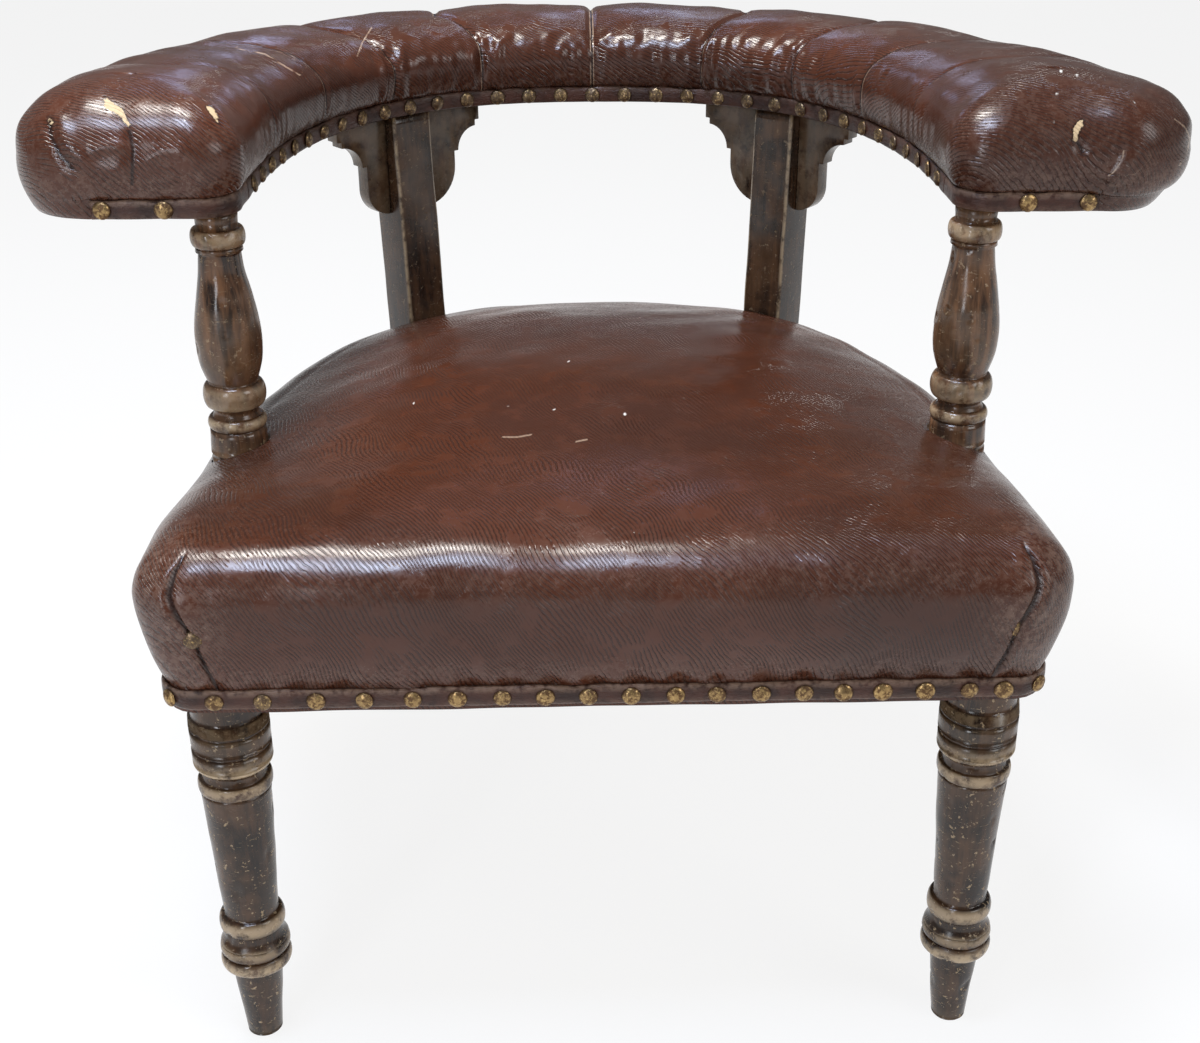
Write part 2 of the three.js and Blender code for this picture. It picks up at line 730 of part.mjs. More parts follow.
// Nail that holds the folded leather at a front corner of the seat.
function pleatNail(hand) {
  const outset = FIT_GAP + LEATHER + EDGE_OVERHANG * 0.7;
  const inset = (PLEAT_TOP_INSET + PLEAT_FOOT_INSET) / 2;
  const x = frameHalf - SEAT_CORNER - inset;
  const station = { p: new THREE.Vector2(hand * x, 0), n: new THREE.Vector2(0, -1) };
  return nailSolid(station, outset, LEG_HEIGHT + PLEAT_NAIL_HEIGHT);
}

// Leather band standing on a path, from inner to outer offset, with nails at an even pitch.
function nailedBand(stations, inner, z0, pitch, margin = pitch / 2) {
  const outer = (station) => inner(station) + BAND_THICKNESS * (inner(station) < 0 ? -1 : 1);
  const rings = stations.map((station) => [[inner, z0], [outer, z0], [outer, z0 + BAND_HEIGHT],
    [inner, z0 + BAND_HEIGHT]].map(([offset, z]) => {
    const p = offsetPoint(station, offset(station));
    return new THREE.Vector3(p.x, p.y, z);
  }));
  const facesBack = inner(stations[0]) < 0;
  let band = toSolid(loft(rings));
  const lengths = pathLengths(stations);
  const run = lengths[lengths.length - 1] - 2 * margin;
  const gaps = Math.max(1, Math.round(run / pitch));
  for (let i = 0; i <= gaps; i++) {
    const station = pointAt(stations, lengths, margin + (run * i) / gaps);
    const s = stations[0].s === undefined ? 0 : stations[0].s + margin + (run * i) / gaps;
    const at = { ...station, s };
    if (facesBack) {
      const turned = { p: offsetPoint(at, outer(at)), n: at.n.clone().negate() };
      band = band.add(nailSolid(turned, 0, z0 + BAND_HEIGHT / 2));
    } else {
      band = band.add(nailSolid(at, outer(at), z0 + BAND_HEIGHT / 2));
    }
  }
  return band;
}

function seatBands() {
  const stations = withNormals(seatPlan(FIT_GAP + LEATHER), true);
  const half = stations.length / 2;
  const right = stations.slice(0, half + 1);
  const left = stations.slice(half).concat(stations[0]);
  const lengths = pathLengths(right);
  const postAt = lengthNear(right, lengths, postSeat);
  const frontEnd = frameHalf + SEAT_CORNER;
  const total = lengths[lengths.length - 1];
  const inner = () => FIT_GAP;
  const z = LEG_HEIGHT;
  const frontPath = partOfPath(left, total - frontEnd, total).concat(partOfPath(right, 0, frontEnd).slice(1));
  const backPath = partOfPath(right, postAt, total).concat(partOfPath(left, 0, total - postAt).slice(1));
  const split = FIT_GAP / 2;
  const clear = POST_NAIL_GAP;
  return {
    front: nailedBand(frontPath, inner, z, FRONT_NAIL_PITCH),
    right: nailedBand(partOfPath(right, frontEnd + 2 * split, postAt), inner, z, SIDE_NAIL_PITCH, clear),
    left: nailedBand(partOfPath(left, total - postAt, total - frontEnd - 2 * split), inner, z,
      SIDE_NAIL_PITCH, clear),
    back: nailedBand(backPath, inner, z, SIDE_NAIL_PITCH, clear),
  };
}

// Arm rail, roll, leather and bands

// Ring of points round the arm at s, given as offsets from the centre line and heights.
function armRing(s, outline) {
  const station = armAt(s);
  return outline.map(([d, z]) => {
    const p = offsetPoint(station, d);
    return new THREE.Vector3(p.x, p.y, z);
  });
}

// Stations on the arm between two places, with the round corners' own where they reach the arm's ends.
function armMarks(s0, s1, outset) {
  const plain = horseshoe.map(({ s }) => s).filter((s) => Math.abs(s) < armEnd - ARM_OUTER_CORNER - 1);
  const corners = cornerMarks(outset).flatMap((s) => [-s, s]);
  const inside = plain.concat(corners).filter((s) => s > s0 + 1e-3 && s < s1 - 1e-3);
  return [s0, ...inside, s1].sort((a, b) => a - b);
}

function armRailSolid(s0, s1) {
  const rings = armMarks(s0, s1, 0).map((s) => armRing(s, [
    [armInner(s), armBottom], [armOuter(s), armBottom], [armOuter(s), armTop], [armInner(s), armTop]]));
  return toSolid(loft(rings));
}

function armRails() {
  const split = FIT_GAP / 2;
  const bore = (hand) => rodSolid(hand * spindleX, SPINDLE_SETBACK, 0, armBottom + SPINDLE_TOP_TENON,
    SPINDLE_TENON + 2 * FIT_GAP);
  return {
    left: armRailSolid(-armEnd, -ARM_JOINT_STATION - split).subtract(bore(-1)),
    back: armRailSolid(-ARM_JOINT_STATION + split, ARM_JOINT_STATION - split).subtract(postCuts),
    right: armRailSolid(ARM_JOINT_STATION + split, armEnd).subtract(bore(1)),
  };
}

// How far the leather stands proud of its creases at distance s from the back centre.
function panelPuff(s) {
  const panel = Math.abs(s) / PANEL_PITCH;
  const last = panel > PANELS_PER_SIDE;
  const across = last ? Math.min(panel - PANELS_PER_SIDE, 0.5) : panel % 1;
  return PANEL_PUFF * Math.sin(Math.PI * across) ** 0.6;
}

// Section of the arm roll at s, from the inner hem over the crest to the outer hem.
// Past the arm's end only the bulge over the band is left, and it falls to the nose.
function rollSection(s, skin, bottom, puff, arc) {
  const neckOutset = FIT_GAP + LEATHER - skin;
  const outset = ROLL_OVERHANG + puff * 0.4 - skin;
  const grow = THREE.MathUtils.smoothstep(Math.abs(s), postStation, armEnd);
  const beforeTip = armEnd + ROLL_OVERHANG - skin - Math.abs(s);
  const fall = cornerCut(1, Math.max(beforeTip, 0) / ROLL_NOSE_LENGTH);
  const overhanging = Math.abs(s) > armEnd + neckOutset;
  const bandTop = armBottom + BAND_HEIGHT + 1;
  const widest = armBottom + ROLL_WIDEST;
  const underside = overhanging ? THREE.MathUtils.lerp(bandTop, widest, 0.6 * fall) : bottom;
  const neckTop = Math.max(bandTop, underside + 0.5);
  const height = THREE.MathUtils.lerp(ROLL_BACK_HEIGHT, ROLL_END_HEIGHT, grow) - ROLL_WIDEST + puff - skin;
  const crest = widest + height * (1 - ROLL_NOSE_DROP * fall);
  const tail = THREE.MathUtils.clamp(s, -armEnd - neckOutset, armEnd + neckOutset);
  const edges = [armInner, armOuter].map((edge, i) => ({
    neck: edge(tail, neckOutset) + (overhanging ? skin * (i ? -1 : 1) : 0),
    half: edge(s, outset),
  }));
  const side = ({ neck, half }) => [
    [neck, underside], [neck, neckTop], [(neck + 2 * half) / 3, (neckTop + widest) / 2], [half, widest]];
  const middle = (edges[0].half + edges[1].half) / 2;
  const reach = (edges[1].half - edges[0].half) / 2;
  const over = arc.map((degrees) => {
    const angle = THREE.MathUtils.degToRad(degrees);
    return [middle + reach * power(Math.cos(angle), ROLL_POWER),
      widest + (crest - widest) * Math.sin(angle) ** ROLL_POWER];
  });
  return [...side(edges[0]), ...over, ...side(edges[1]).reverse()];
}

// Arm roll grown inward by skin: 0 for the leather's outside, more for what lies within it.
function armRoll(skin, bottom) {
  const pleated = skin === 0;
  const arc = pleated ? [146, 118, 90, 62, 34] : [128, 52];
  const neckOutset = FIT_GAP + LEATHER - skin;
  const tail = armEnd + neckOutset;
  const tip = armEnd + ROLL_OVERHANG - skin;
  const marks = armMarks(-tail, tail, neckOutset);
  if (pleated) {
    for (let k = -PANELS_PER_SIDE; k <= PANELS_PER_SIDE; k++) {
      marks.push(k * PANEL_PITCH - CREASE_HALF, k * PANEL_PITCH + CREASE_HALF);
    }
  }
  for (const past of [tail + 0.02, (tail + tip) / 2, tip - 0.5]) {
    marks.push(-past, past);
  }
  marks.sort((a, b) => a - b);
  const rings = marks.map((s) => armRing(s, rollSection(s, skin, bottom, pleated ? panelPuff(s) : 0, arc)));
  return toSolid(loft(rings));
}

// Bands round the arm rail: along its inner and outer edges, and round the inner corner across each end.
// The outer corners are bare.
function armBands() {
  const beyond = FIT_GAP + LEATHER;
  const cornerStart = armEnd - ARM_OUTER_CORNER;
  const along = armStations(-cornerStart + FIT_GAP / 2, cornerStart - FIT_GAP / 2);
  const marks = cornerMarks(beyond);
  const tip = marks[marks.length - 1];
  const endPath = [
    ...marks.map((s) => offsetPoint(armAt(s), armInner(s, beyond))),
    offsetPoint(armAt(tip), armOuter(tip, beyond)),
  ];
  const ends = withNormals(endPath, false);
  const lengths = pathLengths(ends);
  const endBand = nailedBand(ends, () => FIT_GAP, armBottom, 2 * END_NAIL_OFFSET,
    lengths[lengths.length - 1] / 2 - END_NAIL_OFFSET);
  return {
    inner: nailedBand(along, ({ s }) => armInner(s, beyond + FIT_GAP), armBottom, ARM_NAIL_PITCH),
    outer: nailedBand(along, ({ s }) => armOuter(s, beyond + FIT_GAP), armBottom, OUTER_NAIL_PITCH),
    left: flip(endBand),
    right: endBand,
  };
}

// Assembly

const chair = new THREE.Group();

function addPiece(name, geometry, material, x = 0, y = 0) {
  const mesh = new THREE.Mesh(geometry, material);
  mesh.name = name;
  mesh.position.set(x, y, 0);
  chair.add(mesh);
}

function addSolid(name, solid, material) {
  addPiece(name, toGeometry(solid), material);
}

function addFrame() {
  const frame = seatFrame();
  addSolid('front_seat_rail', frame.front, frameWood);
  addSolid('back_seat_rail', frame.back, frameWood);
  addSolid('left_seat_rail', frame.left, frameWood);
  addSolid('right_seat_rail', frame.right, frameWood);
  const rails = armRails();
  addSolid('left_arm_rail', rails.left, frameWood);
  addSolid('back_arm_rail', rails.back, frameWood);
  addSolid('right_arm_rail', rails.right, frameWood);
  const post = postSolid();
  addSolid('right_rear_post', post, stainedWood);
  addSolid('left_rear_post', flip(post), stainedWood);
  for (const [end, hand] of [['back', 1], ['side', -1]]) {
    const ear = toSolid(earGeometry(hand));
    addSolid(`right_${end}_ear`, ear, stainedWood);
    addSolid(`left_${end}_ear`, flip(ear), stainedWood);
  }
  for (const [side, hand] of [['left', -1], ['right', 1]]) {
    addPiece(`${side}_front_leg`, frontLeg(), stainedWood, hand * legX, LEG_INSET_FRONT);
    addPiece(`${side}_arm_spindle`, spindle(), stainedWood, hand * spindleX, SPINDLE_SETBACK);
    addPiece(`${side}_corner_block`, cornerBlock(hand), frameWood);
  }
}

function addSeat() {
  addSolid('seat_webbing', webbingLattice(), webbing);
  for (const [place, [x, y]] of Object.entries(springPlaces())) {
    addPiece(`${place}_spring`, springGeometry(), springSteel, x, y);
  }
  const canvasSheet = plateSolid(seatPlan(-FIT_GAP), railTop + FIT_GAP, canvasTop);
  addSolid('seat_canvas', cutRoundSupports(canvasSheet), canvas);
  const far = SEAT_WIDTH + SEAT_DEPTH;
  const below = boxSolid(-far, far, -far, far, 0, canvasTop + FIT_GAP);
  const stuffing = seatDome(LEATHER + FIT_GAP, LEG_HEIGHT).subtract(below);
  addSolid('seat_stuffing', cutRoundSupports(stuffing), hair);
  const inside = seatDome(LEATHER, LEG_HEIGHT - RAIL_HEIGHT);
  const cover = cutRoundSupports(seatDome(0, LEG_HEIGHT).subtract(inside));
  addSolid('seat_cover', cover.add(pleatNail(-1)).add(pleatNail(1)), leather);
  for (const [side, band] of Object.entries(seatBands())) {
    addSolid(`seat_${side}_band`, band.subtract(postCuts), bandLeather);
  }
}

function addArms() {
  const far = SEAT_WIDTH + SEAT_DEPTH;
  const below = boxSolid(-far, far, -far, 2 * far, 0, armTop + FIT_GAP);
  addSolid('arm_stuffing', armRoll(LEATHER + FIT_GAP, armBottom).subtract(below), hair);
  addSolid('arm_cover', armRoll(0, armBottom).subtract(armRoll(LEATHER, armBottom - RAIL_HEIGHT)), leather);
  for (const [side, band] of Object.entries(armBands())) {
    addSolid(`arm_${side}_band`, band, bandLeather);
  }
}

addFrame();
addSeat();
addArms();

const bounds = new THREE.Box3().setFromObject(chair);
chair.position.y = -(bounds.min.y + bounds.max.y) / 2;

export default chair;
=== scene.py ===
# Looks of a worn club chair: a pleated leather arm roll, a stuffed leather seat, nailed bands and dark
# turned wood. Metres, in the part's own frame: +Z up, the sitter faces -Y.

import math

import bmesh
import bpy
import numpy as np
from mathutils import Matrix, Vector


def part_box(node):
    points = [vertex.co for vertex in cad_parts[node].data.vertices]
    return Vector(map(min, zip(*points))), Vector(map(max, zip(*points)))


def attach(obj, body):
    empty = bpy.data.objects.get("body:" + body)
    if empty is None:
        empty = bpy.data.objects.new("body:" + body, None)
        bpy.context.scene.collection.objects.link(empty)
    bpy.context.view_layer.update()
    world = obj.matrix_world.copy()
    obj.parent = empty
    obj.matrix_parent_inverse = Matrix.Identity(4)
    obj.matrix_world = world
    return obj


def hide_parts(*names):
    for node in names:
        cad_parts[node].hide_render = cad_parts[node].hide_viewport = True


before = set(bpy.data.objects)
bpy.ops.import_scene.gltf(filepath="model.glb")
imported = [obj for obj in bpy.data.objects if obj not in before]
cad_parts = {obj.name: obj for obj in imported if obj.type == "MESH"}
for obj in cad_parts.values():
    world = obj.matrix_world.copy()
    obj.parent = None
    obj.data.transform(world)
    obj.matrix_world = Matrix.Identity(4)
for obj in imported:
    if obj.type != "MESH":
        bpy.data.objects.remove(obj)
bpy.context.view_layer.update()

# Seat: plan as in the solids, profile from the photograph
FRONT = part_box("front_seat_rail")[0].y
SEAT_BOTTOM = 0.281
SEAT_HALF = 0.267
SEAT_DEPTH = 0.532
SEAT_STRAIGHT = 0.120
SEAT_CORNER = 0.020
PLAN_POWER = 2.4
SEAT_CENTRE = np.array([0, FRONT + SEAT_DEPTH / 2])
SWELL_START = 0.298
SWELL_POWER = 0.9
EDGE_MIDDLE = 0.354
EDGE_RADIUS = 0.033
EDGE_DEPTH = 0.039
EDGE_OVERHANG = 0.0130
EDGE_DROP = 0.018
SEAT_TOP = 0.401
CANVAS_TOP = 0.3332
SKIN_OUT = 0.0023
SKIN_IN = 0.0003

# Folded front corners of the seat: heights, and distances from the front centre
PLEAT_HEIGHTS = (0.281, 0.297, 0.317, 0.3370, 0.352, 0.366, 0.378, 0.385)
PLEAT_PLACES = (0.2325, 0.2340, 0.2385, 0.2430, 0.2480, 0.2510, 0.2500, 0.2455)
PLEAT_MIDDLE = 0.2445
PLEAT_NAIL_HEIGHT = 0.3370
PLEAT_NAIL_SINK = 0.0030

# Arm roll: plan as in the solids, profile from the photograph
ARM_BOTTOM = 0.535
ARM_HALF = 0.302
ARM_FRONT = 0.185
ARM_BACK = 0.593
ARM_BACK_HALF_WIDTH = 0.058
ARM_END_HALF_WIDTH = 0.066
ARM_INNER_CORNER = 0.020
ARM_OUTER_CORNER = 0.042
ARM_HEM = 0.0125
HEM_ROWS = 5
SWELL_ROWS = 9
ROLL_WIDEST = 0.033
ROLL_OVERHANG = 0.010
ROLL_BACK_HEIGHT = 0.0635
ROLL_END_HEIGHT = 0.080
ROLL_POWER = 0.85
SPINE_SHORT = 0.058
RAIL_SLOT = 0.0203
PANEL_PITCH = 0.112
LAST_CREASE = 4
CREASE_LEAN = 0.020
BARE_END = 0.09
ARM_GRID_STEP = 0.0026

# Bands and nails
BAND_HEIGHT = 0.013
BAND_LIFT = 0.003
END_STRIP_PAST = -0.003
BAND_GAP = 0.0003
POST_GAP = 0.0205
PATH_STEP = 0.001
STRIP_STEP = 0.002
NAIL_RADIUS = 0.0058
NAIL_HEIGHT = 0.0028
NAIL_OUTSET = 0.0024
SEAT_NAIL_LEVEL = 0.2896
FRONT_NAILS_MM = (-264, -236, -207, -175, -146, -117, -90, -63, -37, -11, 15, 42, 67, 94, 120,
                  144, 168, 194, 221, 242, 265)
MM = 0.001

# Turned wood, posts and ears
SPINDLE_X = 0.249
SPINDLE_Y = FRONT + 0.205
SPINDLE_HOLE = 0.0208
SPINDLE_HOLE_LEVELS = (0.3325, 0.6)
SEGMENTS = 72
POST_STATION = 0.196
POST_TOP = 0.5347
POST_FOOT_SIZE = 0.030
POST_SIZE = 0.036
POST_EDGE = 0.0028
POST_CORNER_POINTS = 5
POST_CLEARANCE = 0.0009
EAR_HEIGHT = 0.080
EAR_THICKNESS = 0.014
EAR_OUT = 0.0183
BACK_EAR_WIDTH = 0.056
SIDE_EAR_WIDTH = 0.046

# Stage
STUDIO_RADIUS = 6
STUDIO_WALL = 0.25
GLOW_SHARE = 0.86

# The photograph's camera
PHOTO_SIZE = (1200, 1043)
FOCAL_PIXELS = 1695
CENTRE_PIXEL = (629.6, 539.5)
CAMERA_PLACE = Vector((-0.015, -1.2094, 0.8258))
CAMERA_PITCH = math.radians(26.08)
CAMERA_TURN = math.radians(1.85)
SENSOR = 36.0
PIXEL = 0.0006


def camera_axes():
    forward = Vector((math.sin(CAMERA_TURN) * math.cos(CAMERA_PITCH),
                      math.cos(CAMERA_TURN) * math.cos(CAMERA_PITCH),
                      -math.sin(CAMERA_PITCH)))
    right = forward.cross(Vector((0, 0, 1))).normalized()
    return right, right.cross(forward), forward


def photo_pixels(points):
    """Where points of the chair lie in the photograph, in its pixels."""
    right, up, forward = (np.array(axis) for axis in camera_axes())
    seen = points - np.array(CAMERA_PLACE)
    depth = seen @ forward
    x = CENTRE_PIXEL[0] + FOCAL_PIXELS * (seen @ right) / depth
    y = CENTRE_PIXEL[1] - FOCAL_PIXELS * (seen @ up) / depth
    return np.stack([x, y], -1)


# Number tools

def smoothstep(x, low, high):
    t = np.clip((x - low) / (high - low), 0, 1)
    return t * t * (3 - 2 * t)


def bump(x, centre, width):
    return np.exp(-((x - centre) / width) ** 2)


def power(value, exponent):
    return np.sign(value) * np.abs(value) ** exponent


def ripples(points, wavelength, seed, waves=24):
    """Smooth repeatable noise, mostly within -1 to 1, with lumps about a wavelength apart."""
    rng = np.random.default_rng(seed)
    turns = rng.normal(size=(waves, points.shape[-1]))
    turns /= np.linalg.norm(turns, axis=1, keepdims=True)
    turns *= 2 * math.pi / wavelength * rng.uniform(0.6, 1.4, (waves, 1))
    phases = rng.uniform(0, 2 * math.pi, waves)
    return np.sin(points @ turns.T + phases).sum(-1) / (1.3 * math.sqrt(waves))


def path_lengths(points):
    """Distance of each point along its path."""
    steps = np.linalg.norm(np.diff(points, axis=0), axis=1)
    return np.concatenate([[0], np.cumsum(steps)])


def along(points, marks):
    """Points at given distances along a path."""
    lengths = path_lengths(points)
    return np.stack([np.interp(marks, lengths, points[:, i]) for i in range(points.shape[1])], 1)


def side_normals(run):
    """Unit vectors to the right of steps along a plan path."""
    normal = np.stack([run[:, 1], -run[:, 0]], 1)
    return normal / np.linalg.norm(normal, axis=1, keepdims=True)


def outward(points, closed):
    """Unit normals to the right of a plan path at its own points."""
    if closed:
        return side_normals(np.roll(points, -1, 0) - np.roll(points, 1, 0))
    return side_normals(np.gradient(points, axis=0))


def outward_at(plan, marks, step=0.0005):
    """Unit normals to the right of a closed plan path at distances along it."""
    total = path_lengths(plan)[-1]
    return side_normals(along(plan, (marks + step) % total) - along(plan, (marks - step) % total))


def outward_on(path, marks, step=0.001):
    """Unit normals to the right of an open plan path at distances along it."""
    return side_normals(along(path, marks + step) - along(path, marks - step))


def line_distance(pixels, line):
    """Signed distance to a line of points and the share of the way along it, both per point."""
    line = np.array(line, float)
    best = np.full(len(pixels), 1e9)
    signed = np.full(len(pixels), 1e9)
    share = np.zeros(len(pixels))
    lengths = path_lengths(line)
    for i in range(len(line) - 1):
        run = line[i + 1] - line[i]
        rel = pixels - line[i]
        raw = rel @ run / (run @ run)
        t = np.clip(raw, 0, 1)
        gap = np.linalg.norm(rel - t[:, None] * run, axis=1)
        side = np.sign(run[0] * rel[:, 1] - run[1] * rel[:, 0])
        closer = gap < best
        best = np.where(closer, gap, best)
        signed = np.where(closer, gap * side, signed)
        place = (lengths[i] + raw * (lengths[i + 1] - lengths[i])) / lengths[-1]
        share = np.where(closer, place, share)
    return signed, share


# Mesh tools

def grid_faces(rows, columns, wrap_columns=True, wrap_rows=False):
    """Four-sided faces of a grid of points, row by row."""
    last_row = rows if wrap_rows else rows - 1
    last_column = columns if wrap_columns else columns - 1
    r, c = np.meshgrid(np.arange(last_row), np.arange(last_column), indexing="ij")
    r2 = (r + 1) % rows
    c2 = (c + 1) % columns
    quads = np.stack([r * columns + c, r * columns + c2, r2 * columns + c2, r2 * columns + c], -1)
    return quads.reshape(-1, 4).tolist()


def cap_faces(rings, segments):
    """Triangles that close a tube of rings on the two points that follow it."""
    base = rings * segments
    faces = []
    for i in range(segments):
        after = (i + 1) % segments
        faces.append([base, after, i])
        faces.append([base + 1, base - segments + i, base - segments + after])
    return faces


def plain_object(name, vertices, faces):
    """Object with its faces turned outward."""
    mesh = bpy.data.meshes.new(name)
    mesh.from_pydata(np.asarray(vertices).tolist(), [], faces)
    bm = bmesh.new()
    bm.from_mesh(mesh)
    bmesh.ops.recalc_face_normals(bm, faces=bm.faces)
    bm.to_mesh(mesh)
    bm.free()
    obj = bpy.data.objects.new(name, mesh)
    bpy.context.scene.collection.objects.link(obj)
    return obj


def make_piece(name, vertices, faces, material):
    """Piece of the chair that rides on its one body."""
    obj = plain_object(name, vertices, faces)
    obj.data.materials.append(material)
    obj.data.shade_smooth()
    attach(obj, "root")
    return obj


def set_attribute(obj, name, values):
    attribute = obj.data.attributes.new(name, "FLOAT", "POINT")
    attribute.data.foreach_set("value", np.asarray(values, np.float32))


def surface_normals(points):
    """Normals of a grid of points whose columns wrap round, on the side that faces away from the middle."""
    du = np.roll(points, -1, 1) - np.roll(points, 1, 1)
    dv = np.gradient(points, axis=0)
    normal = np.cross(du, dv)
    return normal / np.maximum(np.linalg.norm(normal, axis=2, keepdims=True), 1e-12)


# Material tools

class Shader:
    """Builds one node material; sockets may be given as plain values or as other nodes' outputs."""

    def __init__(self, name):
        self.material = bpy.data.materials.new(name)
        self.material.use_nodes = True
        self.tree = self.material.node_tree
        self.surface = self.tree.nodes["Principled BSDF"]
        self.place = self.node("ShaderNodeTexCoord").outputs["Object"]

    def node(self, kind, **settings):
        made = self.tree.nodes.new(kind)
        for key, value in settings.items():
            setattr(made, key, value)
        return made

    def put(self, socket, value):
        if isinstance(value, bpy.types.NodeSocket):
            self.tree.links.new(value, socket)
        else:
            socket.default_value = value

    def math(self, operation, a, b=0.0, clamp=False):
        made = self.node("ShaderNodeMath", operation=operation, use_clamp=clamp)
        self.put(made.inputs[0], a)
        self.put(made.inputs[1], b)
        return made.outputs[0]

    def times(self, a, b):
        return self.math("MULTIPLY", a, b)

    def stretch(self, scale):
        made = self.node("ShaderNodeMapping")
        self.put(made.inputs["Vector"], self.place)
        made.inputs["Scale"].default_value = scale
        return made.outputs[0]

    def noise(self, scale, detail=2.0, roughness=0.5, distortion=0.0, place=None):
        made = self.node("ShaderNodeTexNoise")
        self.put(made.inputs["Vector"], place or self.place)
        made.inputs["Scale"].default_value = scale
        made.inputs["Detail"].default_value = detail
        made.inputs["Roughness"].default_value = roughness
        made.inputs["Distortion"].default_value = distortion
        return made.outputs["Fac"]

    def ramp(self, value, low, high, to_low=0.0, to_high=1.0):
        made = self.node("ShaderNodeMapRange", interpolation_type="SMOOTHSTEP")
        self.put(made.inputs["Value"], value)
        made.inputs["From Min"].default_value = low
        made.inputs["From Max"].default_value = high
        made.inputs["To Min"].default_value = to_low
        made.inputs["To Max"].default_value = to_high
        return made.outputs["Result"]

    def mix(self, share, a, b):
        made = self.node("ShaderNodeMix", data_type="RGBA")
        self.put(made.inputs["Factor"], share)
        self.put(made.inputs[6], (*a, 1) if isinstance(a, tuple) else a)
        self.put(made.inputs[7], (*b, 1) if isinstance(b, tuple) else b)
        return made.outputs[2]

    def attribute(self, name):
        return self.node("ShaderNodeAttribute", attribute_name=name).outputs["Fac"]

    def relief(self, height, distance, strength=1.0, under=None):
        made = self.node("ShaderNodeBump")
        self.put(made.inputs["Height"], height)
        made.inputs["Distance"].default_value = distance
        made.inputs["Strength"].default_value = strength
        if under:
            self.put(made.inputs["Normal"], under)
        return made.outputs[0]

    def finish(self, color, roughness, normal=None, **plain):
        self.put(self.surface.inputs["Base Color"], color)
        self.put(self.surface.inputs["Roughness"], roughness)
        if normal:
            self.put(self.surface.inputs["Normal"], normal)
        for key, value in plain.items():
            self.surface.inputs[key.replace("_", " ")].default_value = value
        return self.material


def leather_material():
    """Old glossy leathercloth: fan-like pressed grain, scuffs, painted shade in creases and round tears, pale
    seams and tears.
    """
    s = Shader("worn_leather")
    lean = s.times(s.noise(15, 1.0, 0.4), 70.0)
    phase = s.math("ADD", s.times(s.attribute("flow"), 2500.0), lean)
    lines = s.math("SINE", s.math("ADD", phase, s.times(s.noise(150, 2, 0.6), 5.0)))
    strokes = s.ramp(s.noise(60, 2, 0.6), 0.34, 0.52)
    grain = s.times(s.ramp(lines, 0.1, 0.95), strokes)
    pores = s.noise(1100, 2, 0.6)
    height = s.math("SUBTRACT", s.times(pores, 0.06), s.times(grain, 0.6))
    normal = s.relief(height, 0.0009, 0.7, s.relief(s.noise(34, 3, 0.5), 0.0022, 0.3))

    shade = s.ramp(s.noise(5, 3, 0.5), 0.35, 0.66)
    color = s.mix(shade, (0.050, 0.0145, 0.0066), (0.075, 0.0210, 0.0090))
    color = s.mix(s.times(grain, 0.7), color, (0.022, 0.0070, 0.0040))
    wear = s.attribute("wear")
    rub = s.times(wear, s.ramp(s.noise(230, 4, 0.7), 0.40, 0.66))
    color = s.mix(s.times(rub, 0.55), color, (0.19, 0.115, 0.08))
    scuff = s.times(s.ramp(s.noise(900, 2, 0.6, 1.5, s.stretch((1, 0.25, 1))), 0.62, 0.7), wear)
    color = s.mix(s.times(scuff, 0.55), color, (0.34, 0.25, 0.19))
    # Dark along creases, slits and the seat's corner folds: painted shade in the folds.
    gap = s.math("ABSOLUTE", s.attribute("seam"))
    crease = s.ramp(gap, 0.0004, 0.0018, 1.0, 0.0)
    color = s.mix(s.times(crease, 0.8), color, (0.012, 0.005, 0.004))
    thread = s.math("ABSOLUTE", s.attribute("thread"))
    ragged = s.math("ADD", thread, s.times(s.noise(420, 2), 0.0007))
    pale = s.times(s.ramp(ragged, 0.0005, 0.0010, 1.0, 0.0), s.ramp(s.noise(90, 2), 0.34, 0.5))
    color = s.mix(s.times(pale, 0.75), color, (0.36, 0.25, 0.17))
    frayed = s.times(s.math("SUBTRACT", s.noise(300, 3, 0.7), 0.5), 0.004)
    tear_edge = s.math("ADD", s.attribute("tear"), frayed)
    torn = s.ramp(tear_edge, -0.0003, 0.0003, 1.0, 0.0)
    # Dark rim just outside each tear: painted shade under the torn edge.
    tear_rim_shade = s.times(s.ramp(tear_edge, 0.0003, 0.0018, 1.0, 0.0), 0.6)
    color = s.mix(tear_rim_shade, color, (0.014, 0.006, 0.004))
    color = s.mix(torn, color, s.mix(s.noise(500, 2), (0.46, 0.31, 0.16), (0.64, 0.48, 0.28)))
    speck = s.ramp(s.attribute("speck"), 0.0006, 0.0013, 1.0, 0.0)
    color = s.mix(speck, color, (0.7, 0.67, 0.6))
    rough = s.math("ADD", s.ramp(s.noise(24, 3, 0.6), 0.3, 0.7, 0.19, 0.27), s.times(rub, 0.15))
    rough = s.math("ADD", rough, s.times(torn, 0.5), clamp=True)
    return s.finish(color, rough, normal, Specular_IOR_Level=0.43)


def band_material():
    """Narrow leather strip: lengthwise wrinkles, worn pale edges."""
    s = Shader("band_leather_worn")
    wrinkles = s.noise(420, 3, 0.65, 0.6, s.stretch((0.5, 0.5, 1.6)))
    color = s.mix(s.ramp(s.noise(60, 3, 0.6), 0.35, 0.65), (0.026, 0.0095, 0.006), (0.060, 0.0205, 0.012))
    wear = s.times(s.attribute("wear"), s.ramp(s.noise(180, 3, 0.7), 0.3, 0.6))
    color = s.mix(s.times(wear, 0.8), color, (0.32, 0.21, 0.15))
    rough = s.ramp(s.noise(90, 3), 0.3, 0.7, 0.30, 0.46)
    return s.finish(color, rough, s.relief(wrinkles, 0.0011, 0.7), Specular_IOR_Level=0.35)


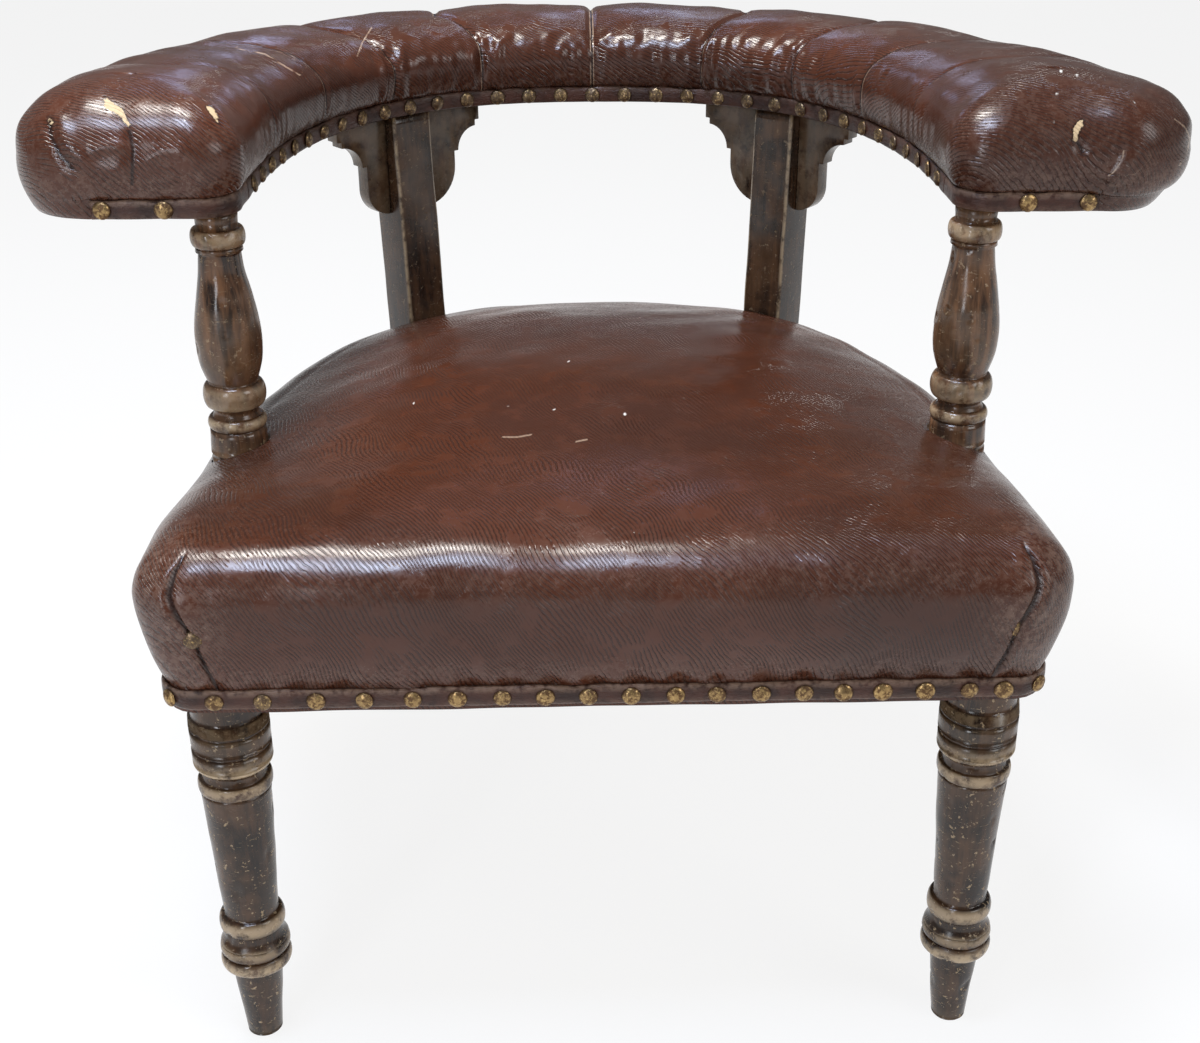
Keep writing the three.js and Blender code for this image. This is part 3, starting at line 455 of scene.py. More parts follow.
def wood_material(name="dark_wood", light=1.0):
    """Dark stained hardwood: fine grain, pale rubbed edges and rings (partly painted highlight), chips and
    scratches. A light above 1 makes a lighter copy with less grime: painted light.
    """
    s = Shader(name)
    grain = s.noise(160, 4, 0.6, 0.4, s.stretch((1, 1, 0.09)))
    fine = s.noise(900, 2, 0.6, 0.0, s.stretch((1, 1, 0.05)))
    dark = tuple(light * c for c in (0.0070, 0.0038, 0.0025))
    warm = tuple(light * c for c in (0.056, 0.026, 0.0118))
    color = s.mix(s.ramp(grain, 0.36, 0.68), dark, warm)
    color = s.mix(s.times(s.ramp(fine, 0.5, 0.72), 0.35), color, (0.085, 0.045, 0.025))
    patch = s.ramp(s.noise(26, 3, 0.6), 0.36, 0.64)
    worn_and_highlit = s.times(s.attribute("wear"), s.ramp(s.noise(75, 4, 0.7), 0.34, 0.56))
    rubbed = tuple(math.sqrt(light) * c for c in (0.120, 0.060, 0.027))
    color = s.mix(s.times(patch, 0.40), color, rubbed)
    grime = s.ramp(s.noise(34, 3, 0.65), 0.47, 0.66)
    color = s.mix(s.times(grime, 0.65 / light), color, (0.006, 0.004, 0.003))
    # Pale on proud rings and post corners: rubbed wear, and on the turned rings partly a painted highlight.
    color = s.mix(worn_and_highlit, color, (0.46, 0.335, 0.20))
    nicks = s.ramp(s.noise(210, 3, 0.75), 0.615, 0.66)
    scratch_field = s.noise(130, 2, 0.6, 1.2, s.stretch((1.0, 1.0, 4.5)))
    scratches = s.times(s.ramp(scratch_field, 0.66, 0.7), 0.6)
    chip = s.math("MAXIMUM", nicks, scratches)
    chip = s.times(chip, s.attribute("knocks"))
    color = s.mix(chip, color, (0.42, 0.30, 0.17))
    rough = s.ramp(s.noise(48, 3), 0.3, 0.7, 0.13, 0.30)
    rough = s.math("ADD", rough, s.times(chip, 0.3))
    height = s.math("SUBTRACT", s.times(grain, 0.3), s.times(chip, 0.8))
    return s.finish(color, rough, s.relief(height, 0.0006, 0.5), Specular_IOR_Level=0.5)


def bare_wood_material():
    """Dusty pale wood of the hidden frame."""
    s = Shader("bare_frame_wood")
    grain = s.noise(90, 4, 0.6, 0.5, s.stretch((0.15, 1, 1)))
    color = s.mix(s.ramp(grain, 0.34, 0.68), (0.20, 0.12, 0.06), (0.38, 0.25, 0.14))
    dust = s.ramp(s.noise(20, 4, 0.6), 0.45, 0.75)
    color = s.mix(s.times(dust, 0.5), color, (0.16, 0.12, 0.085))
    return s.finish(color, 0.75, s.relief(grain, 0.0008, 0.6))


def brass_material():
    """Old brass nail heads: bright where rubbed, brown lacquer in patches."""
    s = Shader("aged_brass")
    patches = s.ramp(s.noise(330, 3, 0.65), 0.42, 0.58)
    color = s.mix(patches, (0.40, 0.26, 0.11), (0.14, 0.075, 0.034))
    # Darker brown where tarnished; the inner arm band's nails are darkened the same way as painted shade.
    tarnish_and_shade = s.attribute("tarnish_and_shade")
    color = s.mix(tarnish_and_shade, color, (0.10, 0.07, 0.05))
    scratch = s.ramp(s.noise(700, 2, 0.7), 0.56, 0.64)
    color = s.mix(s.times(scratch, 0.6), color, (0.62, 0.43, 0.18))
    rough = s.ramp(patches, 0, 1, 0.3, 0.55)
    return s.finish(color, rough, s.relief(s.noise(420, 3), 0.0005, 0.5), Metallic=0.85)


def weave_material(name, light, dark, pitch):
    """Plain woven cloth with stains."""
    s = Shader(name)
    split = s.node("ShaderNodeSeparateXYZ")
    s.put(split.inputs[0], s.place)
    over = [s.math("SINE", s.times(split.outputs[i], 2 * math.pi / pitch)) for i in (0, 1)]
    weave = s.times(over[0], over[1])
    color = s.mix(s.ramp(weave, -0.6, 0.6), dark, light)
    stain = s.ramp(s.noise(18, 4, 0.6), 0.45, 0.75)
    color = s.mix(s.times(stain, 0.5), color, tuple(0.5 * c for c in dark))
    return s.finish(color, 0.95, s.relief(weave, 0.0006, 0.8))


def spring_material():
    """Coppered wire with rust."""
    s = Shader("old_spring_wire")
    rust = s.ramp(s.noise(240, 4, 0.7), 0.4, 0.62)
    color = s.mix(rust, (0.28, 0.21, 0.16), (0.12, 0.05, 0.025))
    return s.finish(color, s.ramp(rust, 0, 1, 0.35, 0.8), Metallic=0.7)


# Plan of the seat

def quarter_plan(half, bend, back, steps):
    """Rounded quarter of a plan, from its side to its back centre."""
    angle = np.linspace(0, math.pi / 2, steps)
    x = half * power(np.cos(angle), 2 / PLAN_POWER)
    y = bend + (back - bend) * power(np.sin(angle), 2 / PLAN_POWER)
    x[-1] = 0
    return np.stack([x, y], 1)


def seat_plan():
    """Closed outline of the seat frame from the front centre round by the right."""
    front = np.stack([np.linspace(0, SEAT_HALF - SEAT_CORNER, 200), np.zeros(200)], 1)
    angle = np.linspace(0, math.pi / 2, 60)
    corner = np.stack([SEAT_HALF - SEAT_CORNER + SEAT_CORNER * np.sin(angle),
                       SEAT_CORNER - SEAT_CORNER * np.cos(angle)], 1)
    side = np.stack([np.full(80, SEAT_HALF), np.linspace(SEAT_CORNER, SEAT_STRAIGHT, 80)], 1)
    back = quarter_plan(SEAT_HALF, SEAT_STRAIGHT, SEAT_DEPTH, 400)
    right = np.concatenate([front, corner[1:], side[1:], back[1:]])
    left = right[::-1] * (-1, 1)
    points = np.concatenate([right, left[1:]])
    return points + (0, FRONT)


def spaced_marks(total, step, fine_step, fine_places, reach):
    """Distances along a half path, closer together near the given places."""
    marks = [0.0]
    while marks[-1] < total:
        gap = min(abs(marks[-1] - place) for place in fine_places)
        marks.append(marks[-1] + (fine_step if gap < reach else step))
    marks = np.array(marks)
    return marks * (total / marks[-1])


# Seat

def edge_outset(rise):
    """How far the seat's wall stands out of the frame on its way up to the roll's middle, 0 to 1."""
    return SKIN_OUT + EDGE_OVERHANG * math.sin(rise * math.pi / 2) ** SWELL_POWER


def seat_rows():
    """Rows from the hem up over the edge: outset from the frame and height."""
    wall = [(SKIN_OUT, z) for z in np.arange(SEAT_BOTTOM, SWELL_START, 0.004)]
    rise = [(edge_outset(t), SWELL_START + (EDGE_MIDDLE - SWELL_START) * t) for t in np.linspace(0, 1, 20)]
    turn = []
    for angle in np.radians(np.arange(4, 77, 4)):
        outset = SKIN_OUT + EDGE_OVERHANG - EDGE_DEPTH * (1 - math.cos(angle))
        turn.append((outset, EDGE_MIDDLE + EDGE_RADIUS * math.sin(angle)))
    return np.array(wall + rise + turn)


def edge_drop(y):
    """The padded edge is highest along the front and lower from the spindles back."""
    return EDGE_DROP * smoothstep(y, FRONT + 0.03, FRONT + 0.21)


def crown_share(edge, xy):
    """Height of the stuffed crown over its edge, 0 at the edge and 1 in the middle."""
    right = edge[:len(edge) // 2 + 1]
    front, back = right[:, 1].min(), right[:, 1].max()
    order = np.argsort(right[:, 1])
    x, y = xy.T
    widest = np.maximum.accumulate(right[order, 0])
    half = np.maximum(np.interp(y, right[order, 1], widest), 1e-4)
    rear = np.interp(y, right[order, 1], right[order, 0])
    half = np.where(y > front + 0.1, np.maximum(rear, 1e-4), half)
    across = np.clip(1 - (x / half) ** 2, 0, 1)
    middle = (front + back) / 2
    lengthways = np.clip(1 - ((y - middle) / (back - middle)) ** 2, 0, 1)
    return (across * lengthways) ** 0.85


def seat_surface():
    """Grid of points of the seat's leather, each one's distance round the frame and distance to the fold."""
    plan = seat_plan()
    total = path_lengths(plan)[-1]
    half = spaced_marks(total / 2, 0.004, 0.0008, [PLEAT_MIDDLE], 0.009)
    marks = np.concatenate([half, total - half[-2:0:-1]])
    signed = np.where(marks > total / 2, marks - total, marks)
    rows = seat_rows()
    crown_scales = np.concatenate([np.linspace(1, 0.1, 62)[1:], [0.05, 0.02]])
    shift = np.interp(rows[:, 1], PLEAT_HEIGHTS, PLEAT_PLACES) - PLEAT_MIDDLE
    near = bump(np.abs(signed), PLEAT_MIDDLE, 0.016)
    grid, place, fold = [], [], []
    for (outset, z), move in zip(rows, shift):
        moved = np.abs(signed) + move * near
        at = np.where(signed < 0, total - moved, moved) % total
        xy = along(plan, at) + outward_at(plan, at) * outset
        lowered = z - edge_drop(xy[:, 1]) * smoothstep(z, SWELL_START, EDGE_MIDDLE)
        grid.append(np.column_stack([xy, lowered]))
        place.append(moved * np.sign(signed))
        fold.append(np.abs(signed) - PLEAT_MIDDLE)
    edge = grid[-1]
    for scale in crown_scales:
        xy = SEAT_CENTRE + (edge[:, :2] - SEAT_CENTRE) * scale
        base = rows[-1, 1] - edge_drop(xy[:, 1])
        z = base + (SEAT_TOP - base) * crown_share(edge, xy)
        grid.append(np.column_stack([xy, z]))
        place.append(place[len(rows) - 1])
        fold.append(np.full(len(xy), 1.0))
    return np.array(grid), np.array(place), np.array(fold), len(rows)


def seat_relief(points, place, fold):
    """How far the leather stands out of its plain shape, in metres."""
    x, y, z = points[..., 0], points[..., 1], points[..., 2]
    wall = smoothstep(z, 0.297, 0.305) * smoothstep(z, 0.386, 0.374)
    front = smoothstep(y, FRONT + 0.03, FRONT - 0.005)
    lumps = 0.0016 * ripples(points, 0.17, 3) * smoothstep(z, 0.30, 0.34)
    on_roll = bump(z, 0.374, 0.018) * smoothstep(y, FRONT + 0.10, FRONT + 0.03)
    small = 0.0005 * ripples(points, 0.05, 4) + 0.0010 * ripples(points, 0.085, 6) * on_roll
    diagonal = np.sin((x * 0.8 + z * 1.1) / 0.0085 + 1.2 * ripples(points, 0.09, 5))
    folds = 0.0007 * diagonal * front * bump(x, -0.03, 0.075) * bump(z, 0.322, 0.022)
    groove = -0.0026 * bump(fold, 0, 0.0011) + 0.0015 * bump(fold, 0.0042, 0.0035)
    groove += 0.0007 * bump(fold, -0.006, 0.005)
    dimple = -0.0022 * bump(fold, 0, 0.009) * bump(z, PLEAT_NAIL_HEIGHT, 0.009)
    hem = 0.0008 * np.sin(place * 2 * math.pi / 0.0254) * bump(z, 0.300, 0.006) * front
    return lumps + small + folds + wall * groove + wall * dimple + hem


def seat_shell():
    """Closed seat pad: leather outside, flat where it lies on the canvas and the rails."""
    points, place, fold, edge_rows = seat_surface()
    normals = surface_normals(points)
    if (normals[edge_rows // 2, 0] @ (0, -1, 0)) < 0:
        normals = -normals
    points = points + normals * seat_relief(points, place, fold)[..., None]
    columns = points.shape[1]
    hem = points[0][:, :2] - normals[0][:, :2] * (SKIN_OUT - SKIN_IN)
    inside = [np.column_stack([hem, np.full(columns, SEAT_BOTTOM)])]
    for scale in (1, 0.66, 0.33, 0.05):
        shrunk = SEAT_CENTRE + (hem - SEAT_CENTRE) * scale
        inside.append(np.column_stack([shrunk, np.full(columns, CANVAS_TOP)]))
    shell = np.concatenate([np.array(inside)[::-1], points])
    ends = [[*SEAT_CENTRE, CANVAS_TOP], [*SEAT_CENTRE, points[-1, :, 2].mean()]]
    vertices = np.concatenate([shell.reshape(-1, 3), ends])
    faces = grid_faces(len(shell), columns) + cap_faces(len(shell), columns)
    return vertices, faces, np.concatenate([np.full(len(inside) * columns, 1.0), fold.ravel(), [1.0, 1.0]])


def nearest_speck(points, specks):
    """Distance in metres to the nearest of some specks placed in photograph pixels."""
    pixels = photo_pixels(points)
    gaps = [np.linalg.norm(pixels - np.array(place), axis=1) for place in specks]
    return np.min(gaps, axis=0) * PIXEL


def make_seat(leather):
    vertices, faces, fold = seat_shell()
    seat = make_piece("seat_leather", vertices, faces, leather)
    x, y, z = vertices.T
    edge = bump(z, 0.372, 0.014) * 0.35
    corner = smoothstep(np.abs(x), 0.230, 0.267) * smoothstep(y, FRONT + 0.09, FRONT + 0.01)
    low = bump(z, 0.303, 0.012) * 0.5
    on_wall = smoothstep(z, 0.385, 0.380) * smoothstep(z, 0.29, 0.30)
    pixels = photo_pixels(vertices)
    from_nails = [np.linalg.norm(pixels - np.array(nail), axis=1) for nail in PLEAT_NAIL_PIXELS]
    burst = sum(bump(gap, 0, 30) for gap in from_nails) * (y < FRONT + 0.03)
    set_attribute(seat, "wear", np.clip(edge + 0.7 * corner * (z > 0.3) + low + burst, 0, 1))
    # Distance to the corner fold; the leather paints shade along it.
    set_attribute(seat, "seam", np.where(on_wall > 0.3, fold, 1.0))
    set_attribute(seat, "thread", np.where(z > 0.36, nearest_line(vertices, SEAT_SCRATCHES), 1.0))
    set_attribute(seat, "tear", np.full(len(x), 1.0))
    set_attribute(seat, "speck", nearest_speck(vertices, SEAT_SPECKS))
    set_attribute(seat, "flow", 0.85 * x + 0.42 * y + 0.52 * z)
    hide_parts("seat_cover", "seat_stuffing")
    return seat


def make_pleat_nails(brass):
    """The two nails that hold the folded front corners."""
    plan = seat_plan()
    total = path_lengths(plan)[-1]
    mark = np.interp(PLEAT_NAIL_HEIGHT, PLEAT_HEIGHTS, PLEAT_PLACES)
    marks = np.array([mark, total - mark])
    normal = outward_at(plan, marks)
    outset = edge_outset((PLEAT_NAIL_HEIGHT - SWELL_START) / (EDGE_MIDDLE - SWELL_START))
    places = along(plan, marks) + normal * (outset - PLEAT_NAIL_SINK)
    nail_row("pleat_nails", places, normal, np.full(2, PLEAT_NAIL_HEIGHT), brass, 35, (0, 1))


def cut_away(piece, cutter):
    """Takes a cutter's shape out of a piece and removes the cutter."""
    cut = piece.modifiers.new("cut", "BOOLEAN")
    cut.operation = "DIFFERENCE"
    cut.solver = "EXACT"
    cut.object = cutter
    bpy.context.view_layer.update()
    evaluated = piece.evaluated_get(bpy.context.evaluated_depsgraph_get())
    mesh = bpy.data.meshes.new_from_object(evaluated)
    piece.modifiers.clear()
    old = piece.data
    piece.data = mesh
    bpy.data.meshes.remove(old)
    bpy.data.objects.remove(cutter)
    piece.data.set_sharp_from_angle(angle=math.radians(50))


def rod_shape(x, y, z0, z1, radius, sides=48):
    """Upright round rod."""
    angle = np.linspace(0, 2 * math.pi, sides, endpoint=False)
    ring = np.stack([x + radius * np.cos(angle), y + radius * np.sin(angle)], 1)
    vertices = np.concatenate([np.column_stack([ring, np.full(sides, z)]) for z in (z0, z1)])
    faces = grid_faces(2, sides)
    faces.append(list(range(sides))[::-1])
    faces.append(list(range(sides, 2 * sides)))
    return vertices, faces


def notch_seat(seat):
    """Clears the seat's leather and stuffing round the spindles and the rear posts."""
    for hand in (-1, 1):
        hole = rod_shape(hand * SPINDLE_X, SPINDLE_Y, *SPINDLE_HOLE_LEVELS, SPINDLE_HOLE)
        cut_away(seat, plain_object("cutter", *hole))
    for side in ("left", "right"):
        levels, turn = post_frame(side)
        cut_away(seat, plain_object("cutter", *post_shape(levels, turn, POST_CLEARANCE)))


# Arm roll

def arm_centre_line():
    """Fine horseshoe from the back centre to the right arm end."""
    points = quarter_plan(ARM_HALF, ARM_FRONT, ARM_BACK, 2000)[::-1]
    return points + (0, FRONT)


ARM_LINE = arm_centre_line()
ARM_END = path_lengths(ARM_LINE)[-1]
SPINE_END = ARM_END - SPINE_SHORT


def arm_place(s, d):
    """World plan of a point s along the horseshoe from the back centre and d outward from its centre line."""
    marks = np.minimum(np.abs(s), ARM_END)
    base = along(ARM_LINE, marks)
    step = 0.001
    run = along(ARM_LINE, np.minimum(marks + step, ARM_END)) - along(ARM_LINE, np.maximum(marks - step, 0))
    run /= np.linalg.norm(run, axis=1, keepdims=True)
    run[marks < step] = (1, 0)
    normal = np.stack([-run[:, 1], run[:, 0]], 1)
    xy = base + normal * d[:, None] + run * np.maximum(np.abs(s) - ARM_END, 0)[:, None]
    xy[:, 0] *= np.where(s < 0, -1, 1)
    return xy


def arm_half_width(s):
    """Half the rail's width, growing from the posts to the arm ends."""
    grow = smoothstep(np.abs(s), POST_STATION, ARM_END)
    return ARM_BACK_HALF_WIDTH + (ARM_END_HALF_WIDTH - ARM_BACK_HALF_WIDTH) * grow


def arm_outline(step):
    """Half outline of the rail in (s, d): along the inner edge from the back, round the end and back."""
    ri, ro = ARM_INNER_CORNER, ARM_OUTER_CORNER
    w = ARM_END_HALF_WIDTH
    s = np.linspace(0, ARM_END - ri, 400)
    inner = np.stack([s, -arm_half_width(s)], 1)
    a = np.linspace(0, math.pi / 2, 40)
    corner_in = np.stack([ARM_END - ri + ri * np.sin(a), -w + ri - ri * np.cos(a)], 1)
    corner_out = np.stack([ARM_END - ro + ro * np.cos(a), w - ro + ro * np.sin(a)], 1)
    s = np.linspace(ARM_END - ro, 0, 400)
    outer = np.stack([s, arm_half_width(s)], 1)
    path = np.concatenate([inner, corner_in[1:], corner_out, outer[1:]])
    count = int(path_lengths(path)[-1] / step)
    return along(path, np.linspace(0, path_lengths(path)[-1], count))


def arm_loop(step):
    """Whole closed outline in (s, d) with outward normals."""
    right = arm_outline(step)
    left = right[::-1] * (-1, 1)
    loop = np.concatenate([right, left[1:-1]])
    return loop, outward(loop, True)


def arm_rows():
    """Rows from the hem to the spine: outset, height, share of the crest's height, share of the way in."""
    rows = [(SKIN_OUT, ARM_BOTTOM + z, 0.0, 0.0) for z in np.linspace(0, ARM_HEM, HEM_ROWS)]
    for t in np.linspace(0.12, 1, SWELL_ROWS):
        angle = t * math.pi / 2
        outset = SKIN_OUT + (ROLL_OVERHANG - SKIN_OUT) * math.sin(angle)
        height = ARM_HEM + (ROLL_WIDEST - ARM_HEM) * (1 - math.cos(angle))
        rows.append((outset, ARM_BOTTOM + height, 0.0, 0.0))
    for angle in np.radians(np.linspace(3, 90, 40)):
        rise = math.sin(angle) ** ROLL_POWER
        share = 1 - math.cos(angle) ** ROLL_POWER
        rows.append((ROLL_OVERHANG, ARM_BOTTOM + ROLL_WIDEST, rise, share))
    return np.array(rows)


def panel_values(s, lean):
    """Share of the way across a leather panel and signed distance to the nearest crease, both at s."""
    shifted = np.abs(s) - lean
    panel = np.clip(shifted / PANEL_PITCH, 0, LAST_CREASE + 0.5)
    nearest = np.clip(np.round(shifted / PANEL_PITCH), 0, LAST_CREASE)
    return panel % 1, shifted - nearest * PANEL_PITCH


def corner_share(loop):
    """1 in the middle of each bare outer corner of the arm, 0 elsewhere."""
    s, d = loop.T
    ahead = np.abs(s) - (ARM_END - ARM_OUTER_CORNER)
    aside = d - (ARM_END_HALF_WIDTH - ARM_OUTER_CORNER)
    angle = np.arctan2(aside, ahead)
    inside = (ahead > 0) & (aside > 0)
    return np.where(inside, np.sin(2 * np.clip(angle, 0, math.pi / 2)) ** 0.5, 0)


def arm_grid(loop, normal, rows):
    """Points of the plain roll, with the distance to the nearest crease and the share across a panel."""
    s_base, d_base = loop.T
    spine_s = np.clip(s_base, -SPINE_END, SPINE_END)
    grow = smoothstep(np.abs(spine_s), POST_STATION, ARM_END)
    crest = ROLL_BACK_HEIGHT + (ROLL_END_HEIGHT - ROLL_BACK_HEIGHT) * grow - ROLL_WIDEST
    bare = corner_share(loop)
    grid, seam, across = [], [], []
    for outset, z, rise, share in rows:
        level = min((z - ARM_BOTTOM) / ROLL_WIDEST, 1)
        tucked = 0.0006 + ROLL_OVERHANG * math.sin(level * math.pi / 2) ** 0.8
        out = outset + (tucked - outset) * bare * (rise == 0)
        s = s_base + normal[:, 0] * out
        d = d_base + normal[:, 1] * out
        s_here = s + (spine_s - s) * share
        grid.append(np.column_stack([arm_place(s_here, d * (1 - share)), z + crest * rise]))
        lean = CREASE_LEAN * share * smoothstep(np.abs(s_here), 0.04, 0.10)
        fraction, gap = panel_values(s_here, lean)
        seam.append(gap)
        across.append(fraction)
    return np.array(grid), np.array(seam), np.array(across)


def make_arm(leather):
    loop, normal = arm_loop(ARM_GRID_STEP)
    rows = arm_rows()
    points, seam, across = arm_grid(loop, normal, rows)
    normals = surface_normals(points)
    if normals[len(rows) // 3, 0] @ np.array([0, -1, 0]) < 0:
        normals = -normals
    relief = arm_relief(points, seam, across, rows, loop)
    points = points + normals * relief[..., None]
    vertices, faces, extra = close_arm(points, loop, normal)
    arm = make_piece("arm_leather", vertices, faces, leather)
    paint_arm(arm, vertices, seam, extra, np.tile(loop[:, 0], len(rows)))
    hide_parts("arm_cover", "arm_stuffing")


def arm_relief(points, seam, across, rows, loop):
    """How far the leather of the roll stands out of its plain shape, in metres."""
    lower = HEM_ROWS + SWELL_ROWS
    rise = np.concatenate([np.linspace(0, 0.25, lower), 0.25 + 0.75 * rows[lower:, 3]])[:, None]
    s, d = loop.T
    inner = smoothstep(-d, -0.02, 0.04)
    body = smoothstep(rise, 0.06, 0.3)
    end = smoothstep(np.abs(s), ARM_END - BARE_END, ARM_END - 0.03)
    pleated = (1 - end) * (1 - 0.72 * smoothstep(np.abs(s), 0.20, 0.36))
    puff = 0.0040 * np.sin(math.pi * across) ** 0.55 * body * pleated
    crease = -0.0024 * bump(seam, 0, 0.0026) * body * pleated
    lumps = 0.0016 * ripples(points, 0.13, 11) * body
    small = 0.0005 * ripples(points, 0.035, 12) * body
    near_crease = 0.35 + 0.65 * bump(seam, 0, 0.028)
    gathers = 0.0021 * ripples(points[..., :2], 0.013, 13) * bump(rise, 0.24, 0.17) * near_crease * pleated
    gathers = gathers * (0.3 + 0.7 * inner)
    heavy = smoothstep(s, ARM_END - 0.16, ARM_END - 0.03) * smoothstep(d, -0.005, 0.05)
    bulge = 0.010 * heavy * bump(rise, 0.27, 0.22)
    pixels = photo_pixels(points)
    dents = np.zeros(points.shape[:2])
    ahead = points[..., 1] < MARKS_BEHIND
    for line, depth, width in ARM_DENTS:
        gap, share = line_distance(pixels.reshape(-1, 2), line)
        fade = smoothstep(share, -0.05, 0.15) * smoothstep(share, 1.05, 0.85)
        dents += (depth * bump(gap * PIXEL, 0, width) * fade).reshape(dents.shape) * ahead
    return puff + crease + lumps + small + gathers + dents + bulge


def close_arm(points, loop, normal):
    """Shuts the roll underneath with the slot in which the arm rail lies."""
    columns = len(loop)
    s = loop[:, 0] + normal[:, 0] * SKIN_IN
    d = loop[:, 1] + normal[:, 1] * SKIN_IN
    slot = arm_place(s, d)
    middle = arm_place(np.clip(loop[:, 0], -SPINE_END, SPINE_END), d * 0)
    top = ARM_BOTTOM + RAIL_SLOT
    levels = ((middle, top), (slot, top), (slot, ARM_BOTTOM))
    inside = [np.column_stack([plan, np.full(columns, z)]) for plan, z in levels]
    shell = np.concatenate([np.array(inside), points])
    return shell.reshape(-1, 3), grid_faces(len(shell), columns), len(inside) * columns


# Marks on the leather, placed in the photograph's pixels

MARKS_BEHIND = FRONT + 0.36
PLEAT_NAIL_PIXELS = ((193, 639), (1017, 625))
ARM_SPECKS = ((1061, 71), (1077, 75), (1057, 94), (1055, 122), (184, 120), (197, 119), (1134, 102))
SEAT_SPECKS = ((413, 403), (508, 405), (554, 409), (625, 414), (569, 362), (603, 366))
ARM_TEARS = (
    ((104, 96), (112, 102), (122, 108), (126, 118), (131, 124),
     (128, 127), (121, 117), (113, 111), (105, 108)),
    ((1072, 140), (1073.7, 129), (1078, 121), (1083, 119.5), (1083.5, 125), (1079, 132.5), (1076, 142)),
    ((206, 106), (212, 107), (217, 114), (219, 124), (214, 118), (208, 110)),
    ((47, 116), (52, 118), (53, 125), (49, 124)),
)
ARM_SLITS = (
    ((50, 120), (51, 136), (60, 155), (74, 170)),
    ((129, 128), (133, 150), (132, 186)),
    ((1077, 141), (1084, 156)),
)
ARM_WELTS = (
    ((235, 48), (265, 54), (301, 76)),
    ((372, 27), (362, 43), (357, 57)),
    ((1172, 117), (1185, 127), (1190, 138), (1187, 153), (1177, 170), (1160, 182), (1140, 190), (1110, 192)),
    ((1124, 150), (1122, 160), (1115, 171), (1105, 179)),
)
ARM_DENTS = (
    (ARM_SLITS[0], -0.0028, 0.0026),
    (ARM_SLITS[1], -0.0016, 0.0032),
    (ARM_SLITS[2], -0.0022, 0.0034),
    (((56, 112), (62, 130), (72, 150), (88, 166)), 0.0016, 0.0045),
    (ARM_WELTS[3], 0.0018, 0.0030),
    (((1118, 146), (1115, 160), (1106, 170)), -0.0016, 0.0035),
    (((1022, 155), (1028, 158), (1034, 167)), 0.0014, 0.0028),
    (((1166, 120), (1178, 130), (1182, 140), (1179, 152), (1169, 167), (1152, 179)), 0.0016, 0.0050),
    (((90, 150), (110, 146), (128, 148)), 0.0012, 0.0030),
    (((80, 165), (104, 172), (126, 170)), 0.0012, 0.0030),
    (((140, 165), (165, 150), (190, 152)), 0.0010, 0.0035),
)
SEAT_SCRATCHES = (
    ((500, 437), (518, 437), (535, 434)),
    ((574, 442), (590, 439)),
    ((935, 420), (958, 434), (975, 447)),
)


def nearest_line(points, lines):
    """Signed distance in metres to the nearest of some lines drawn in photograph pixels."""
    pixels = photo_pixels(points)
    best = np.full(len(points), 1.0)
    for line in lines:
        gap, share = line_distance(pixels, line)
        gap = np.where((share > 0) & (share < 1), gap * PIXEL, 1.0)
        best = np.where(np.abs(gap) < np.abs(best), gap, best)
    return best


def closest(first, second):
    """The smaller of two signed distances, per point."""
    return np.where(np.abs(first) < np.abs(second), first, second)


def polygon_distance(pixels, polygon):
    """Signed distance to a closed outline, negative inside."""
    ring = list(polygon) + [polygon[0]]
    gap = np.abs(line_distance(pixels, ring)[0])
    inside = np.zeros(len(pixels), bool)
    for (x0, y0), (x1, y1) in zip(ring[:-1], ring[1:]):
        crosses = (y0 > pixels[:, 1]) != (y1 > pixels[:, 1])
        with np.errstate(divide="ignore", invalid="ignore"):
            at = x0 + (pixels[:, 1] - y0) * (x1 - x0) / (y1 - y0)
        inside ^= crosses & (pixels[:, 0] < at)
    return np.where(inside, -gap, gap)


def paint_arm(arm, vertices, seam, extra, s):
    """Sets the arm leather's tears, creases, welts, wear and specks; the first extra points lie inside."""
    pixels = photo_pixels(vertices)
    x, y, z = vertices.T
    ahead = (y < MARKS_BEHIND) & (z > 0.551)
    tear = np.min([polygon_distance(pixels, outline) for outline in ARM_TEARS], axis=0) * PIXEL
    set_attribute(arm, "tear", np.where(ahead, tear, 1.0))
    creases = np.concatenate([np.full(extra, 1.0), seam.ravel()])
    creases = np.where(np.abs(np.concatenate([np.zeros(extra), s])) > ARM_END - BARE_END, 1.0, creases)
    slits = np.where(ahead, nearest_line(vertices, ARM_SLITS), 1.0)
    welts = np.where(z > 0.56, nearest_line(vertices, ARM_WELTS), 1.0)
    # Creases and slits, along which the leather paints shade.
    set_attribute(arm, "seam", closest(creases, slits))
    set_attribute(arm, "thread", closest(creases - 0.0012, welts))
    low = bump(z, 0.556, 0.008) * 0.5
    ends = smoothstep(y, FRONT + 0.26, FRONT + 0.18) * 0.25
    set_attribute(arm, "wear", np.clip(low + ends + 0.08, 0, 1))
    set_attribute(arm, "speck", nearest_speck(vertices, ARM_SPECKS))
    set_attribute(arm, "flow", 0.5 * x + 0.6 * y + 0.7 * z)


# Bands and nails

